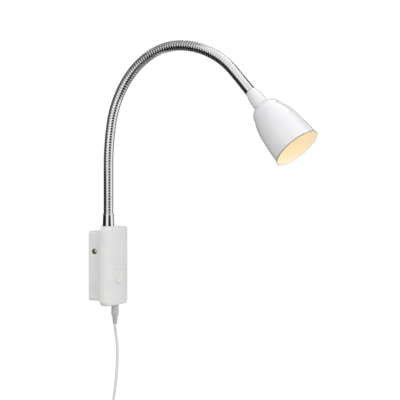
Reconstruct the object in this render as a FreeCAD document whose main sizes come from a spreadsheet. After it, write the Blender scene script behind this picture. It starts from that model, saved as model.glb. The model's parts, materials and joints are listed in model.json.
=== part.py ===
"""Bedside wall reading lamp: a white wall box with a push button, a chrome gooseneck and a tulip shade.

Millimetres. The origin is on the wall, at the middle of the box's back. +Z is up and -Y is out into
the room. Every size that can be chosen by itself is one row of the sheet "sizes".
"""
import FreeCAD, Part
import math
import operator
import os

import Sketcher
from FreeCAD import Placement, Rotation, Vector

doc = FreeCAD.newDocument("wall_reading_lamp")
sheet = doc.addObject("Spreadsheet::Sheet", "sizes")
pieces = {}

# ---------------------------------------------------------------- sizes


class Size:
    """A length or angle that knows both its number and the expression that gives it."""

    def __init__(self, number, text):
        self.number = float(number)
        self.text = text

    def __float__(self):
        return self.number

    def __neg__(self):
        return Size(-self.number, "-(%s)" % self.text)

    def __add__(self, other):
        return combine(self, "+", other)

    def __radd__(self, other):
        return combine(other, "+", self)

    def __sub__(self, other):
        return combine(self, "-", other)

    def __rsub__(self, other):
        return combine(other, "-", self)

    def __mul__(self, other):
        return combine(self, "*", other)

    def __rmul__(self, other):
        return combine(other, "*", self)

    def __truediv__(self, other):
        return combine(self, "/", other)


OPERATIONS = {"+": operator.add, "-": operator.sub, "*": operator.mul, "/": operator.truediv}


def as_size(value):
    return value if isinstance(value, Size) else Size(value, repr(float(value)))


def combine(first, sign, second):
    first = as_size(first)
    second = as_size(second)
    number = OPERATIONS[sign](first.number, second.number)
    return Size(number, "(%s %s %s)" % (first.text, sign, second.text))


def root(value):
    return Size(math.sqrt(value.number), "sqrt(%s)" % value.text)


def size(name, number):
    """Write one driving dimension into the next row of the sheet."""
    size.row += 1
    sheet.set("A%d" % size.row, name)
    sheet.set("B%d" % size.row, str(number))
    sheet.setAlias("B%d" % size.row, name)
    return Size(number, "sizes.%s" % name)


size.row = 0

# clearances
fit_gap = size("fit_gap", 0.2)  # between parts that are pushed into each other
thread_gap = size("thread_gap", 0.05)  # all round a screw or stud in its thread
joint_gap = size("joint_gap", 0.3)  # between the ball and socket faces of the neck
lug_gap = size("lug_gap", 0.3)  # between a lug of the cover and the inside of the box

# wall box, the narrow rear part of the housing
box_wide = size("box_wide", 39.2)
box_deep = size("box_deep", 21.2)  # from the wall to the back of its front flange
box_wall = size("box_wall", 2.2)
box_back = size("box_back", 2.5)
box_corner = size("box_corner", 4.0)  # radius of the box's corners, seen from the front
flange_thick = size("flange_thick", 2.0)
boss_radius = size("boss_radius", 9.6)  # round boss on the box's top that carries the neck
wall_screw_apart = size("wall_screw_apart", 60.0)  # between the two wall screws, one above the other
wall_screw_hole = size("wall_screw_hole", 2.2)  # radius, for a 4 mm screw

# front cover, taller and wider than the box
cover_wide = size("cover_wide", 52.0)
cover_high = size("cover_high", 100.6)
cover_past_box = size("cover_past_box", 5.8)  # how far it reaches past the box, above and below
box_high = cover_high - cover_past_box * 2
cover_front = size("cover_front", 33.6)  # from the wall to the middle of its crowned face
cover_rear = size("cover_rear", 20.7)  # from the wall to its rear edge
cover_wall = size("cover_wall", 2.0)
cover_crown = size("cover_crown", 150.0)  # radius of the crowned face
cover_edge = size("cover_edge", 4.5)  # radius of the two long front edges
cover_corner = size("cover_corner", 7.5)  # radius of the corners, seen from the front

# side screws that hold the cover's two lugs inside the box
side_screw_from_wall = size("side_screw_from_wall", 8.5)
side_screw_up = size("side_screw_up", 18.5)  # above the middle of the box
side_screw_radius = size("side_screw_radius", 2.0)
side_head_radius = size("side_head_radius", 3.65)
side_head_thick = size("side_head_thick", 1.8)
side_head_sunk = size("side_head_sunk", 1.2)  # depth of its seat in the box wall
side_hole_slack = size("side_hole_slack", 0.2)
drive_wide = size("drive_wide", 1.1)  # width of one bar of the cross recess
drive_long = size("drive_long", 4.4)
drive_deep = size("drive_deep", 1.1)
insert_radius = size("insert_radius", 2.9)
insert_long = size("insert_long", 4.6)
lug_thick = size("lug_thick", 5.0)
lug_high = size("lug_high", 12.0)
lug_from_wall = size("lug_from_wall", 3.5)  # between the lug's end and the wall

# push button
button_up = size("button_up", -14.0)  # its middle, from the middle of the box
button_radius = size("button_radius", 9.2)
button_slack = size("button_slack", 0.3)  # between the cap and its hole
button_proud = size("button_proud", 0.6)  # of the crowned face
button_round = size("button_round", 0.9)  # radius of the cap's edge
button_lip = size("button_lip", 1.2)  # how far its rim reaches behind the cover
button_lip_thick = size("button_lip_thick", 1.0)
button_skin = size("button_skin", 1.4)
button_post_radius = size("button_post_radius", 3.2)

# circuit board, switch, inlet and parts on the board
board_wide = size("board_wide", 30.0)
board_thick = size("board_thick", 1.6)
board_top = size("board_top", 8.0)
board_from_wall = size("board_from_wall", 21.6)
post_radius = size("post_radius", 2.3)
post_side = size("post_side", 11.0)
post_up = size("post_up", 3.0)
lower_post_from_end = size("lower_post_from_end", 15.1)  # from the board's lower end
board_screw_radius = size("board_screw_radius", 1.2)
board_screw_long = size("board_screw_long", 6.0)
board_screw_head = size("board_screw_head", 2.3)
board_screw_head_thick = size("board_screw_head_thick", 1.4)
switch_side = size("switch_side", 12.0)
switch_deep = size("switch_deep", 5.3)
switch_base = size("switch_base", 0.6)
switch_lid = size("switch_lid", 0.4)
plunger_radius = size("plunger_radius", 2.0)
plunger_lip = size("plunger_lip", 2.8)
plunger_lip_thick = size("plunger_lip_thick", 0.7)
spring_radius = size("spring_radius", 2.2)
spring_wire = size("spring_wire", 0.4)
spring_turns = 4
inlet_from_wall = size("inlet_from_wall", 27.2)
inlet_wide = size("inlet_wide", 9.0)
inlet_high = size("inlet_high", 14.0)
inlet_pin = size("inlet_pin", 1.0)
capacitor_radius = size("capacitor_radius", 3.0)
capacitor_long = size("capacitor_long", 7.0)
capacitor_side = size("capacitor_side", -8.0)
inductor_side = size("inductor_side", 9.5)
inductor_wide = size("inductor_wide", 6.0)
inductor_thick = size("inductor_thick", 3.0)
parts_from_end = size("parts_from_end", 6.1)  # capacitor and inductor, from the board's lower end

# neck: bottom ferrule, stud and nut
neck_from_wall = size("neck_from_wall", 17.3)
neck_turned = size("neck_turned", 5.0)  # degrees that the whole neck is turned towards -X
ferrule_high = size("ferrule_high", 16.4)
ferrule_foot = size("ferrule_foot", 7.45)
ferrule_top = size("ferrule_top", 6.5)
ferrule_round = size("ferrule_round", 0.7)
stud_radius = size("stud_radius", 5.0)
stud_long = size("stud_long", 16.0)
stem_long = size("stem_long", 8.0)  # plug that the neck is pressed on, at both ends
lead_bore = size("lead_bore", 2.5)
lead_radius = size("lead_radius", 1.4)
lead_straight = size("lead_straight", 8.0)  # straight runs of the lamp lead, at the board and the stud
lead_in_stud = size("lead_in_stud", 10.0)
washer_radius = size("washer_radius", 8.5)
washer_thick = size("washer_thick", 1.2)
nut_across = size("nut_across", 14.0)
nut_thick = size("nut_thick", 5.0)

# gooseneck: one straight, then arcs in one upright plane
rib_pitch = size("rib_pitch", 3.5)
rib_crest = size("rib_crest", 6.5)
rib_valley = size("rib_valley", 5.7)
rib_flank = size("rib_flank", 0.55)  # length of a rib's sloping side
neck_bore = size("neck_bore", 4.0)
neck_ribs = 105
joint_ribs = (12, 27, 42, 57, 72, 87)  # valleys where the neck is set to bend
hinge_back = size("hinge_back", 2.4)  # from the bending valley back to the ball's centre
ball_radius = size("ball_radius", 6.8)
neck_rise = size("neck_rise", 61.8)
neck_arc_1 = size("neck_arc_1", 306.0)  # radii of the arcs, from the straight to the head
neck_arc_2 = size("neck_arc_2", 129.0)
neck_arc_3 = size("neck_arc_3", 94.0)
neck_arc_4 = size("neck_arc_4", 99.0)
neck_arc_5 = size("neck_arc_5", 107.0)
neck_turn_1 = size("neck_turn_1", 10.2)  # degrees that each arc turns
neck_turn_2 = size("neck_turn_2", 23.1)
neck_turn_3 = size("neck_turn_3", 34.3)
neck_turn_4 = size("neck_turn_4", 32.3)
neck_turn_5 = size("neck_turn_5", 39.1)
neck_arcs = (
    (neck_arc_1, neck_turn_1), (neck_arc_2, neck_turn_2), (neck_arc_3, neck_turn_3),
    (neck_arc_4, neck_turn_4), (neck_arc_5, neck_turn_5),
)

# head, measured along its own axis from the neck's end
collar_long = size("collar_long", 22.2)
collar_start = size("collar_start", 5.15)
collar_end = size("collar_end", 5.5)
collar_thread = size("collar_thread", 4.0)
collar_thread_long = size("collar_thread_long", 6.0)
cup_long = size("cup_long", 22.2)
cup_start = size("cup_start", 6.4)
cup_end = size("cup_end", 9.25)
cup_chamfer = size("cup_chamfer", 0.5)
cup_bulge = size("cup_bulge", 60.0)  # radius of the cup's curved side
nipple_radius = size("nipple_radius", 4.2)
nipple_long = size("nipple_long", 9.0)
shade_wall = size("shade_wall", 1.6)
shade_crease = size("shade_crease", 9.0)  # radius where the shade meets the cup
shoulder_along = size("shoulder_along", 11.2)
shoulder_radius = size("shoulder_radius", 18.4)
shoulder_curve = size("shoulder_curve", 13.5)
belly_along = size("belly_along", 38.3)
belly_radius = size("belly_radius", 25.3)
belly_curve = size("belly_curve", 78.0)
lip_along = size("lip_along", 64.5)
lip_radius = size("lip_radius", 27.5)
lip_curve = size("lip_curve", 420.0)
shade_long = size("shade_long", 67.3)
shade_mouth = size("shade_mouth", 28.3)
shade_nut_radius = size("shade_nut_radius", 7.5)
shade_nut_thick = size("shade_nut_thick", 3.2)
sink_hub = size("sink_hub", 6.5)
sink_radius = size("sink_radius", 14.6)
sink_plate = size("sink_plate", 2.5)
sink_fin_thick = size("sink_fin_thick", 1.2)
sink_fin_reach = size("sink_fin_reach", 12.8)
sink_fin_root = size("sink_fin_root", 0.5)  # how deep a fin starts inside the hub
sink_fin_back = size("sink_fin_back", 1.0)  # from the hub's rear face to the fins
sink_fins = 10
led_board_radius = size("led_board_radius", 11.0)
led_board_thick = size("led_board_thick", 1.2)
led_radius = size("led_radius", 5.0)
led_thick = size("led_thick", 1.4)
ring_wall = size("ring_wall", 1.1)
ring_high = size("ring_high", 8.6)
ring_lip = size("ring_lip", 1.2)
lens_thick = size("lens_thick", 1.5)

# low-voltage plug, cord, coil and adapter
plug_gap = size("plug_gap", 0.3)  # between the plug and the bottom of the housing
plug_radius = size("plug_radius", 4.63)
plug_long = size("plug_long", 13.3)
plug_edge = size("plug_edge", 0.4)  # chamfer round its top
plug_shoulder = size("plug_shoulder", 0.6)  # height of the step down to the strain relief
relief_radius = size("relief_radius", 3.86)
relief_end = size("relief_end", 2.6)
relief_long = size("relief_long", 11.1)
relief_groove = size("relief_groove", 0.7)  # depth of the grooves round it
relief_groove_wide = size("relief_groove_wide", 1.11)
relief_grooves = 3
barrel_radius = size("barrel_radius", 2.75)
barrel_bore = size("barrel_bore", 1.15)
barrel_long = size("barrel_long", 9.5)
cord_radius = size("cord_radius", 1.75)
coil_pitch = size("coil_pitch", 4.5)  # between neighbouring turns, and between layers
coil_outer = size("coil_outer", 26.0)  # radius of the outermost turn's middle line
coil_half_turns = 6  # half turns in each layer
coil_layers = 4
tie_thick = size("tie_thick", 1.2)
tie_wide = size("tie_wide", 4.0)
adapter_wide = size("adapter_wide", 28.0)
adapter_deep = size("adapter_deep", 24.0)
adapter_high = size("adapter_high", 38.0)
adapter_corner = size("adapter_corner", 3.0)
adapter_relief = size("adapter_relief", 6.0)
pin_apart = size("pin_apart", 12.7)
pin_wide = size("pin_wide", 6.3)
pin_thick = size("pin_thick", 1.5)
pin_long = size("pin_long", 17.0)

# ---------------------------------------------------------------- helpers

TO_X = Rotation(Vector(0, 1, 0), 90)  # turns a part's own +Z to +X
TO_FRONT = Rotation(Vector(1, 0, 0), 90)  # turns +Z to -Y, out into the room
TO_WALL = Rotation(Vector(1, 0, 0), -90)  # turns +Z to +Y
UPRIGHT = Rotation()


def bind(thing, **lengths):
    for name, length in lengths.items():
        thing.setExpression(name, as_size(length).text)
    return thing


def place(thing, x=0, y=0, z=0, turn=UPRIGHT):
    thing.Placement = Placement(Vector(float(x), float(y), float(z)), turn)
    for axis, length in zip("xyz", (x, y, z)):
        thing.setExpression(".Placement.Base.%s" % axis, as_size(length).text)
    return thing


def block(name, wide, deep, high, x, y, z, turn=UPRIGHT):
    """A box from its lowest corner."""
    thing = doc.addObject("Part::Box", name)
    bind(thing, Length=wide, Width=deep, Height=high)
    return place(thing, x, y, z, turn)


def rod(name, radius, length, x, y, z, turn=UPRIGHT):
    """A round bar from the middle of its first end."""
    thing = doc.addObject("Part::Cylinder", name)
    bind(thing, Radius=radius, Height=length)
    return place(thing, x, y, z, turn)


def fused(name, *things):
    thing = doc.addObject("Part::MultiFuse", name)
    thing.Shapes = list(things)
    return thing


def cut(name, base, *tools):
    thing = doc.addObject("Part::Cut", name)
    thing.Base = base
    thing.Tool = tools[0] if len(tools) == 1 else fused(name + "_tools", *tools)
    return thing


def common(name, first, second):
    thing = doc.addObject("Part::Common", name)
    thing.Base = first
    thing.Tool = second
    return thing


def keep(thing, node=None):
    """Count a finished object as one of the lamp's pieces."""
    thing.Label = node or thing.Name
    pieces[thing.Label] = thing
    return thing


def sketch_on(body, plane, offset=None):
    """A sketch on one of the body's own origin planes, or that far in front of it."""
    sketch = body.newObject("Sketcher::SketchObject", body.Name + "_sketch")
    support = next(f for f in body.Origin.OriginFeatures if f.Role == plane)
    sketch.AttachmentSupport = [(support, "")]
    sketch.MapMode = "FlatFace"
    if offset is not None:
        sketch.setExpression(".AttachmentOffset.Base.z", as_size(offset).text)
    return sketch


def fix_point(sketch, edge, end, x, y):
    for kind, length in (("DistanceX", x), ("DistanceY", y)):
        row = sketch.addConstraint(Sketcher.Constraint(kind, -1, 1, edge, end, float(length)))
        sketch.setExpression("Constraints[%d]" % row, as_size(length).text)


def fix_radius(sketch, edge, radius):
    row = sketch.addConstraint(Sketcher.Constraint("Radius", edge, float(radius)))
    sketch.setExpression("Constraints[%d]" % row, as_size(radius).text)


def circle(sketch, x, y, radius):
    middle = Vector(float(x), float(y), 0)
    edge = sketch.addGeometry(Part.Circle(middle, Vector(0, 0, 1), float(radius)))
    fix_point(sketch, edge, 3, x, y)
    fix_radius(sketch, edge, radius)


def bowed(start, end, radius):
    """The arc between two points, and which of its ends is the start."""
    chord = end - start
    left = Vector(-chord.y, chord.x, 0).normalize()
    if radius < 0:
        left = -left
    reach = math.sqrt(radius * radius - chord.Length ** 2 / 4)
    middle = start + chord / 2 + left * reach
    angles = [math.atan2(p.y - middle.y, p.x - middle.x) for p in (start, end)]
    ring = Part.Circle(middle, Vector(0, 0, 1), abs(radius))
    if radius < 0:
        return Part.ArcOfCircle(ring, angles[1], angles[0]), 2
    return Part.ArcOfCircle(ring, angles[0], angles[1]), 1


def outline(sketch, corners):
    """Draw a closed outline. A corner is (x, y), or (x, y, radius) where an arc leads to the next one.

    The arc turns left, or right where its radius is negative.
    """
    points = [Vector(float(c[0]), float(c[1]), 0) for c in corners]
    first_ends = []
    edges = []
    for number, corner in enumerate(corners):
        start = points[number]
        end = points[(number + 1) % len(points)]
        first_end = 1
        if len(corner) == 3:
            shape, first_end = bowed(start, end, float(corner[2]))
        else:
            shape = Part.LineSegment(start, end)
        edges.append(sketch.addGeometry(shape))
        first_ends.append(first_end)
    for number, corner in enumerate(corners):
        after = (number + 1) % len(corners)
        last_end = 3 - first_ends[number]
        joined = Sketcher.Constraint("Coincident", edges[number], last_end, edges[after], first_ends[after])
        sketch.addConstraint(joined)
        fix_point(sketch, edges[number], first_ends[number], corner[0], corner[1])
        if len(corner) == 3:
            radius = corner[2] if float(corner[2]) > 0 else -corner[2]
            fix_radius(sketch, edges[number], radius)
    return sketch


def rounded_rectangle(wide, high, radius):
    """Corners of a rectangle about the sketch's origin, with round corners."""
    x = wide / 2
    y = high / 2
    return [
        (x - radius, -y, radius), (x, -y + radius),
        (x, y - radius, radius), (x - radius, y),
        (-x + radius, y, radius), (-x, y - radius),
        (-x, -y + radius, radius), (-x + radius, -y),
    ]


def pad(body, sketch, length):
    feature = body.newObject("PartDesign::Pad", body.Name + "_pad")
    feature.Profile = sketch
    bind(feature, Length=length)
    return feature


def pocket(body, sketch, length, both_ways=False):
    """Cut a sketch's outline into the body, against the sketch's normal, and see that it does cut."""
    doc.recompute()
    before = body.Shape.Volume
    feature = body.newObject("PartDesign::Pocket", body.Name + "_pocket")
    feature.Profile = sketch
    feature.Midplane = both_ways
    bind(feature, Length=length)
    doc.recompute()
    if not body.Shape.Volume < before - 0.01:
        raise RuntimeError("%s: a pocket cuts nothing" % body.Name)
    return feature


def turned(name, corners):
    """A piece turned about its own Z axis. Each corner is (radius, height) or (radius, height, curve)."""
    body = doc.addObject("PartDesign::Body", name)
    sketch = outline(sketch_on(body, "XZ_Plane"), corners)
    feature = body.newObject("PartDesign::Revolution", name + "_turned")
    feature.Profile = sketch
    feature.ReferenceAxis = (sketch, ["V_Axis"])
    feature.Angle = 360
    return body


def tube_corners(outer, bore, low, high):
    return [(bore, low), (outer, low), (outer, high), (bore, high)]


# ---------------------------------------------------------------- wall box


def make_wall_box():
    """Narrow rear shell: open front with a flange, round neck boss on top, two wall screw holes."""
    body = doc.addObject("PartDesign::Body", "wall_box")
    shell = outline(sketch_on(body, "XZ_Plane"), rounded_rectangle(box_wide, box_high, box_corner))
    pad(body, shell, box_deep)
    inset = cover_wall + fit_gap
    flange = rounded_rectangle(cover_wide - inset * 2, cover_high - inset * 2, cover_corner - inset)
    pad(body, outline(sketch_on(body, "XZ_Plane", box_deep), flange), flange_thick)
    ceiling = box_high / 2 - box_wall
    boss = sketch_on(body, "XY_Plane", ceiling)
    circle(boss, 0, -neck_from_wall, boss_radius)
    pad(body, boss, cover_high / 2 - ceiling)
    room = rounded_rectangle(box_wide - box_wall * 2, box_high - box_wall * 2, box_corner - box_wall)
    mouth = outline(sketch_on(body, "XZ_Plane", box_deep + flange_thick), room)
    pocket(body, mouth, box_deep + flange_thick - box_back)
    stud_hole = sketch_on(body, "XY_Plane", cover_high / 2)
    circle(stud_hole, 0, -neck_from_wall, stud_radius + fit_gap)
    pocket(body, stud_hole, cover_high / 2 - ceiling)
    wall_holes = sketch_on(body, "XZ_Plane", box_back)
    for side in (-1, 1):
        circle(wall_holes, 0, wall_screw_apart * side / 2, wall_screw_hole)
    pocket(body, wall_holes, box_back)
    side_holes = sketch_on(body, "YZ_Plane")
    circle(side_holes, -side_screw_from_wall, side_screw_up, side_screw_radius + side_hole_slack)
    pocket(body, side_holes, box_wide, both_ways=True)
    right_seat = sketch_on(body, "YZ_Plane", box_wide / 2)
    circle(right_seat, -side_screw_from_wall, side_screw_up, side_head_radius + side_hole_slack)
    pocket(body, right_seat, side_head_sunk)
    left_seat = sketch_on(body, "YZ_Plane", side_head_sunk - box_wide / 2)
    circle(left_seat, -side_screw_from_wall, side_screw_up, side_head_radius + side_hole_slack)
    pocket(body, left_seat, side_head_sunk)
    return keep(body)


# ---------------------------------------------------------------- front cover


def plan_corners(inset):
    """The cover seen from above: flat back edge, straight sides, round edges and a crowned face."""
    half = cover_wide / 2 - inset
    crown = cover_crown - inset
    edge = cover_edge - inset
    crown_middle = cover_crown - cover_front
    edge_side = half - edge
    edge_middle = crown_middle - root((crown - edge) * (crown - edge) - edge_side * edge_side)
    share = crown / (crown - edge)
    front_side = edge_side * share
    front = crown_middle - (crown_middle - edge_middle) * share
    rear = -cover_rear
    return [
        (half, rear), (-half, rear), (-half, edge_middle, edge),
        (-front_side, front, crown), (front_side, front, edge), (half, edge_middle),
    ]


def cover_block(name, inset, behind):
    """The cover's outer form, or its inside where it is inset by the wall."""
    plan = outline(doc.addObject("Sketcher::SketchObject", name + "_plan"), plan_corners(inset))
    face = doc.addObject("Sketcher::SketchObject", name + "_face")
    high = cover_high - inset * 2
    outline(face, rounded_rectangle(cover_wide - inset * 2, high, cover_corner - inset))
    place(face, 0, 0, 0, TO_FRONT)
    tall = doc.addObject("Part::Extrusion", name + "_tall")
    tall.Base = plan
    tall.Dir = Vector(0, 0, 1)
    tall.Solid = True
    tall.Symmetric = True
    bind(tall, LengthFwd=high)
    deep = doc.addObject("Part::Extrusion", name + "_deep")
    deep.Base = face
    deep.Dir = Vector(0, -1, 0)
    deep.Solid = True
    bind(deep, LengthFwd=cover_front + behind)
    return common(name, tall, deep)


def make_front_cover():
    """Taller front shell with the button hole, the inlet hole, screw lugs and board posts."""
    form = cover_block("cover_form", as_size(0), as_size(1))
    room = cover_block("cover_room", cover_wall, as_size(1))
    button_hole = rod("button_hole", button_radius + button_slack, cover_front,
                      0, -cover_rear, button_up, TO_FRONT)
    inlet_hole = rod("inlet_hole", barrel_radius + fit_gap * 2, cover_wall * 2,
                     0, -inlet_from_wall, -cover_high / 2 - cover_wall / 2)
    notch = rod("neck_notch", boss_radius + fit_gap, cover_wall * 2,
                0, -neck_from_wall, cover_high / 2 - cover_wall * 1.5)
    shell = cut("cover_shell", form, room, button_hole, inlet_hole, notch)
    post_end = cover_front - cover_wall / 2
    added = [shell]
    holes = []
    for side, name in ((1, "right"), (-1, "left")):
        outer = box_wide / 2 - box_wall - lug_gap
        low = outer * side if side < 0 else outer - lug_thick
        lug = block(name + "_lug", lug_thick, post_end - cover_wall / 2 - lug_from_wall, lug_high,
                    low, -post_end + cover_wall / 2, side_screw_up - lug_high / 2)
        foot = block(name + "_lug_foot", lug_thick, cover_wall / 2, lug_high,
                     low, -post_end, side_screw_up - lug_high / 2)
        added += [lug, foot]
        start = outer if side < 0 else outer - insert_long
        holes.append(rod(name + "_insert_hole", insert_radius, insert_long,
                         start * side if side < 0 else start,
                         -side_screw_from_wall, side_screw_up, TO_X))
    post_back = board_from_wall + board_thick
    for x, z, name in ((post_side, post_up, "upper"), (-post_side, post_down, "lower")):
        added.append(rod(name + "_post", post_radius, post_end - post_back, x, -post_back, z, TO_FRONT))
        holes.append(rod(name + "_post_hole", board_screw_radius + thread_gap, board_screw_long,
                         x, -post_back, z, TO_FRONT))
    solid = fused("cover_solid", *added)
    return keep(cut("front_cover", solid, *holes))


def make_cover_screws():
    """Two pan head screws with a cross recess, one in each side of the box."""
    both = []
    outer = box_wide / 2 - box_wall - lug_gap
    seat = box_wide / 2 - side_head_sunk
    shank = seat - (outer - insert_long)
    for side, name in ((1, "right"), (-1, "left")):
        turn = TO_X if side > 0 else Rotation(Vector(0, 1, 0), -90)
        start = (outer - insert_long) * side
        bar = rod(name + "_shank", side_screw_radius - thread_gap, shank,
                  start, -side_screw_from_wall, side_screw_up, turn)
        head = rod(name + "_head", side_head_radius, side_head_thick,
                   seat * side, -side_screw_from_wall, side_screw_up, turn)
        face = seat + side_head_thick - drive_deep
        low = face if side > 0 else -face - drive_deep
        upright = block(name + "_drive_up", drive_deep, drive_wide, drive_long,
                        low, -side_screw_from_wall - drive_wide / 2, side_screw_up - drive_long / 2)
        level = block(name + "_drive_level", drive_deep, drive_long, drive_wide,
                      low, -side_screw_from_wall - drive_long / 2, side_screw_up - drive_wide / 2)
        both.append(cut(name + "_screw", fused(name + "_blank", bar, head), upright, level))
    group = doc.addObject("Part::Compound", "cover_screws")
    group.Links = both
    return keep(group)


def make_cover_inserts():
    """Brass thread inserts in the two lugs."""
    both = []
    outer = box_wide / 2 - box_wall - lug_gap
    for side, name in ((1, "right"), (-1, "left")):
        start = outer - insert_long if side > 0 else -outer
        sleeve = rod(name + "_sleeve", insert_radius, insert_long,
                     start, -side_screw_from_wall, side_screw_up, TO_X)
        bore = rod(name + "_sleeve_bore", side_screw_radius, insert_long,
                   start, -side_screw_from_wall, side_screw_up, TO_X)
        both.append(cut(name + "_insert", sleeve, bore))
    group = doc.addObject("Part::Compound", "cover_inserts")
    group.Links = both
    return keep(group)


# ---------------------------------------------------------------- button and switch

lip_reach = button_radius + button_lip
inner_crown = cover_crown - cover_wall
crown_fall = inner_crown - root(inner_crown * inner_crown - lip_reach * lip_reach)
lip_front = cover_front - cover_wall - crown_fall - fit_gap
button_face = cover_front + button_proud
button_back = lip_front - button_lip_thick
board_face = board_from_wall + board_thick
spring_foot = board_face + switch_base
plunger_seat = board_face + switch_deep - switch_lid - fit_gap / 2


def make_push_button():
    """Round cap with a softened edge, a rim that holds it behind the cover and a post on its back."""
    top = button_face
    return keep(place(turned("push_button", [
        (0, button_back), (button_post_radius, button_back),
        (button_post_radius, top - button_skin), (button_radius - button_skin, top - button_skin),
        (button_radius - button_skin, button_back), (lip_reach, button_back), (lip_reach, lip_front),
        (button_radius, lip_front), (button_radius, top - button_round, button_round),
        (button_radius - button_round, top), (0, top),
    ]), 0, 0, button_up, TO_FRONT))


def make_switch_body():
    """Square push switch on the board, with a bore for its plunger and spring."""
    low = button_up - switch_side / 2
    case = block("switch_case", switch_side, switch_deep, switch_side,
                 -switch_side / 2, -board_face - switch_deep, low)
    bore = rod("switch_bore", plunger_lip + fit_gap, switch_deep - switch_base - switch_lid,
               0, -spring_foot, button_up, TO_FRONT)
    hole = rod("switch_lid_hole", plunger_radius + fit_gap / 2, switch_deep,
               0, -spring_foot, button_up, TO_FRONT)
    return keep(cut("switch_body", case, bore, hole))


def make_switch_plunger():
    lip_back = plunger_seat - plunger_lip_thick
    return keep(place(turned("switch_plunger", [
        (0, lip_back), (plunger_lip, lip_back), (plunger_lip, plunger_seat),
        (plunger_radius, plunger_seat), (plunger_radius, button_back), (0, button_back),
    ]), 0, 0, button_up, TO_FRONT))


def make_switch_spring():
    """Return spring between the switch's base and the plunger."""
    free = float(plunger_seat - plunger_lip_thick - spring_foot - spring_wire)
    radius = float(spring_radius)
    slope = free / spring_turns / (2 * math.pi)
    stops = []
    for quarter in range(spring_turns * 4 + 1):
        angle = math.pi * quarter / 2
        point = Vector(radius * math.cos(angle), radius * math.sin(angle), slope * angle)
        heading = Vector(-radius * math.sin(angle), radius * math.cos(angle), slope).normalize()
        stops.append((point, heading))
    edges = []
    for before, after in zip(stops, stops[1:]):
        edges += biarc(*before, *after)
    thing = doc.addObject("Part::Feature", "switch_spring")
    thing.Shape = tube(edges, float(spring_wire) / 2)[0]
    return keep(place(thing, 0, -(spring_foot + spring_wire / 2), button_up, TO_FRONT))


# ---------------------------------------------------------------- board and inlet

board_low = fit_gap + box_wall - box_high / 2
post_down = board_low + lower_post_from_end
parts_up = board_low + parts_from_end


def make_circuit_board():
    board = block("board_plate", board_wide, board_thick, board_top - board_low,
                  -board_wide / 2, -board_face, board_low)
    holes = []
    for x, z, name in ((post_side, post_up, "upper"), (-post_side, post_down, "lower")):
        holes.append(rod(name + "_board_hole", board_screw_radius + fit_gap, board_thick,
                         x, -board_from_wall, z, TO_FRONT))
    return keep(cut("circuit_board", board, *holes))


def make_board_screws():
    both = []
    for x, z, name in ((post_side, post_up, "upper"), (-post_side, post_down, "lower")):
        length = board_thick + board_screw_long - fit_gap
        shank = rod(name + "_board_shank", board_screw_radius, length, x, -board_from_wall, z, TO_FRONT)
        head = rod(name + "_board_head", board_screw_head, board_screw_head_thick,
                   x, -board_from_wall, z, TO_WALL)
        both.append(fused(name + "_board_screw", shank, head))
    group = doc.addObject("Part::Compound", "board_screws")
    group.Links = both
    return keep(group)


inlet_low = cover_wall + fit_gap - cover_high / 2
barrel_top = barrel_long - plug_gap - cover_high / 2


def make_dc_jack():
    """Inlet on the board's lower edge: a round hole with the centre pin in it."""
    deep = (inlet_from_wall - board_face) * 2
    case = block("jack_case", inlet_wide, deep, inlet_high,
                 -inlet_wide / 2, -inlet_from_wall - deep / 2, inlet_low)
    hole = rod("jack_hole", barrel_radius + fit_gap / 2, barrel_top + fit_gap - inlet_low,
               0, -inlet_from_wall, inlet_low)
    pin = rod("jack_pin", inlet_pin, barrel_top + fit_gap - inlet_low, 0, -inlet_from_wall, inlet_low)
    return keep(fused("dc_jack", cut("jack_socket", case, hole), pin))


def make_board_parts():
    capacitor = rod("capacitor", capacitor_radius, capacitor_long,
                    capacitor_side, -board_face, parts_up, TO_FRONT)
    inductor = block("inductor", inductor_wide, inductor_thick, inductor_wide,
                     inductor_side - inductor_wide / 2, -board_face - inductor_thick,
                     parts_up - inductor_wide / 2)
    return keep(capacitor), keep(inductor)


# ---------------------------------------------------------------- neck foot

boss_top = cover_high / 2
box_ceiling = box_high / 2 - box_wall


def make_lower_ferrule():
    """Tapered chrome ferrule with a threaded stud below and a plug for the neck above."""
    stem = neck_bore - thread_gap
    top = boss_top + ferrule_high
    return keep(place(turned("lower_ferrule", [
        (lead_bore, boss_top - stud_long), (stud_radius, boss_top - stud_long), (stud_radius, boss_top),
        (ferrule_foot, boss_top), (ferrule_top + ferrule_round / 4, top - ferrule_round, ferrule_round),
        (ferrule_top - ferrule_round / 2, top), (stem, top), (stem, top + stem_long),
        (lead_bore, top + stem_long),
    ]), 0, -neck_from_wall))


def make_neck_washer():
    corners = tube_corners(washer_radius, stud_radius + thread_gap, box_ceiling - washer_thick, box_ceiling)
    return keep(place(turned("neck_washer", corners), 0, -neck_from_wall))


def make_neck_nut():
    """Hexagon nut that draws the stud down through the box's top."""
    body = doc.addObject("PartDesign::Body", "neck_nut")
    sketch = sketch_on(body, "XY_Plane")
    flat = nut_across / 2
    tip = nut_across / math.sqrt(3)
    outline(sketch, [(tip, 0), (tip / 2, flat), (-tip / 2, flat),
                     (-tip, 0), (-tip / 2, -flat), (tip / 2, -flat)])
    circle(sketch, 0, 0, stud_radius + thread_gap)
    pad(body, sketch, nut_thick)
    return keep(place(body, 0, -neck_from_wall, box_ceiling - washer_thick - nut_thick))


# ---------------------------------------------------------------- neck line

neck_base = Placement(Vector(0, -float(neck_from_wall), 0), Rotation(Vector(0, 0, 1), -float(neck_turned)))
neck_long = float(rib_pitch) * neck_ribs


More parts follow.
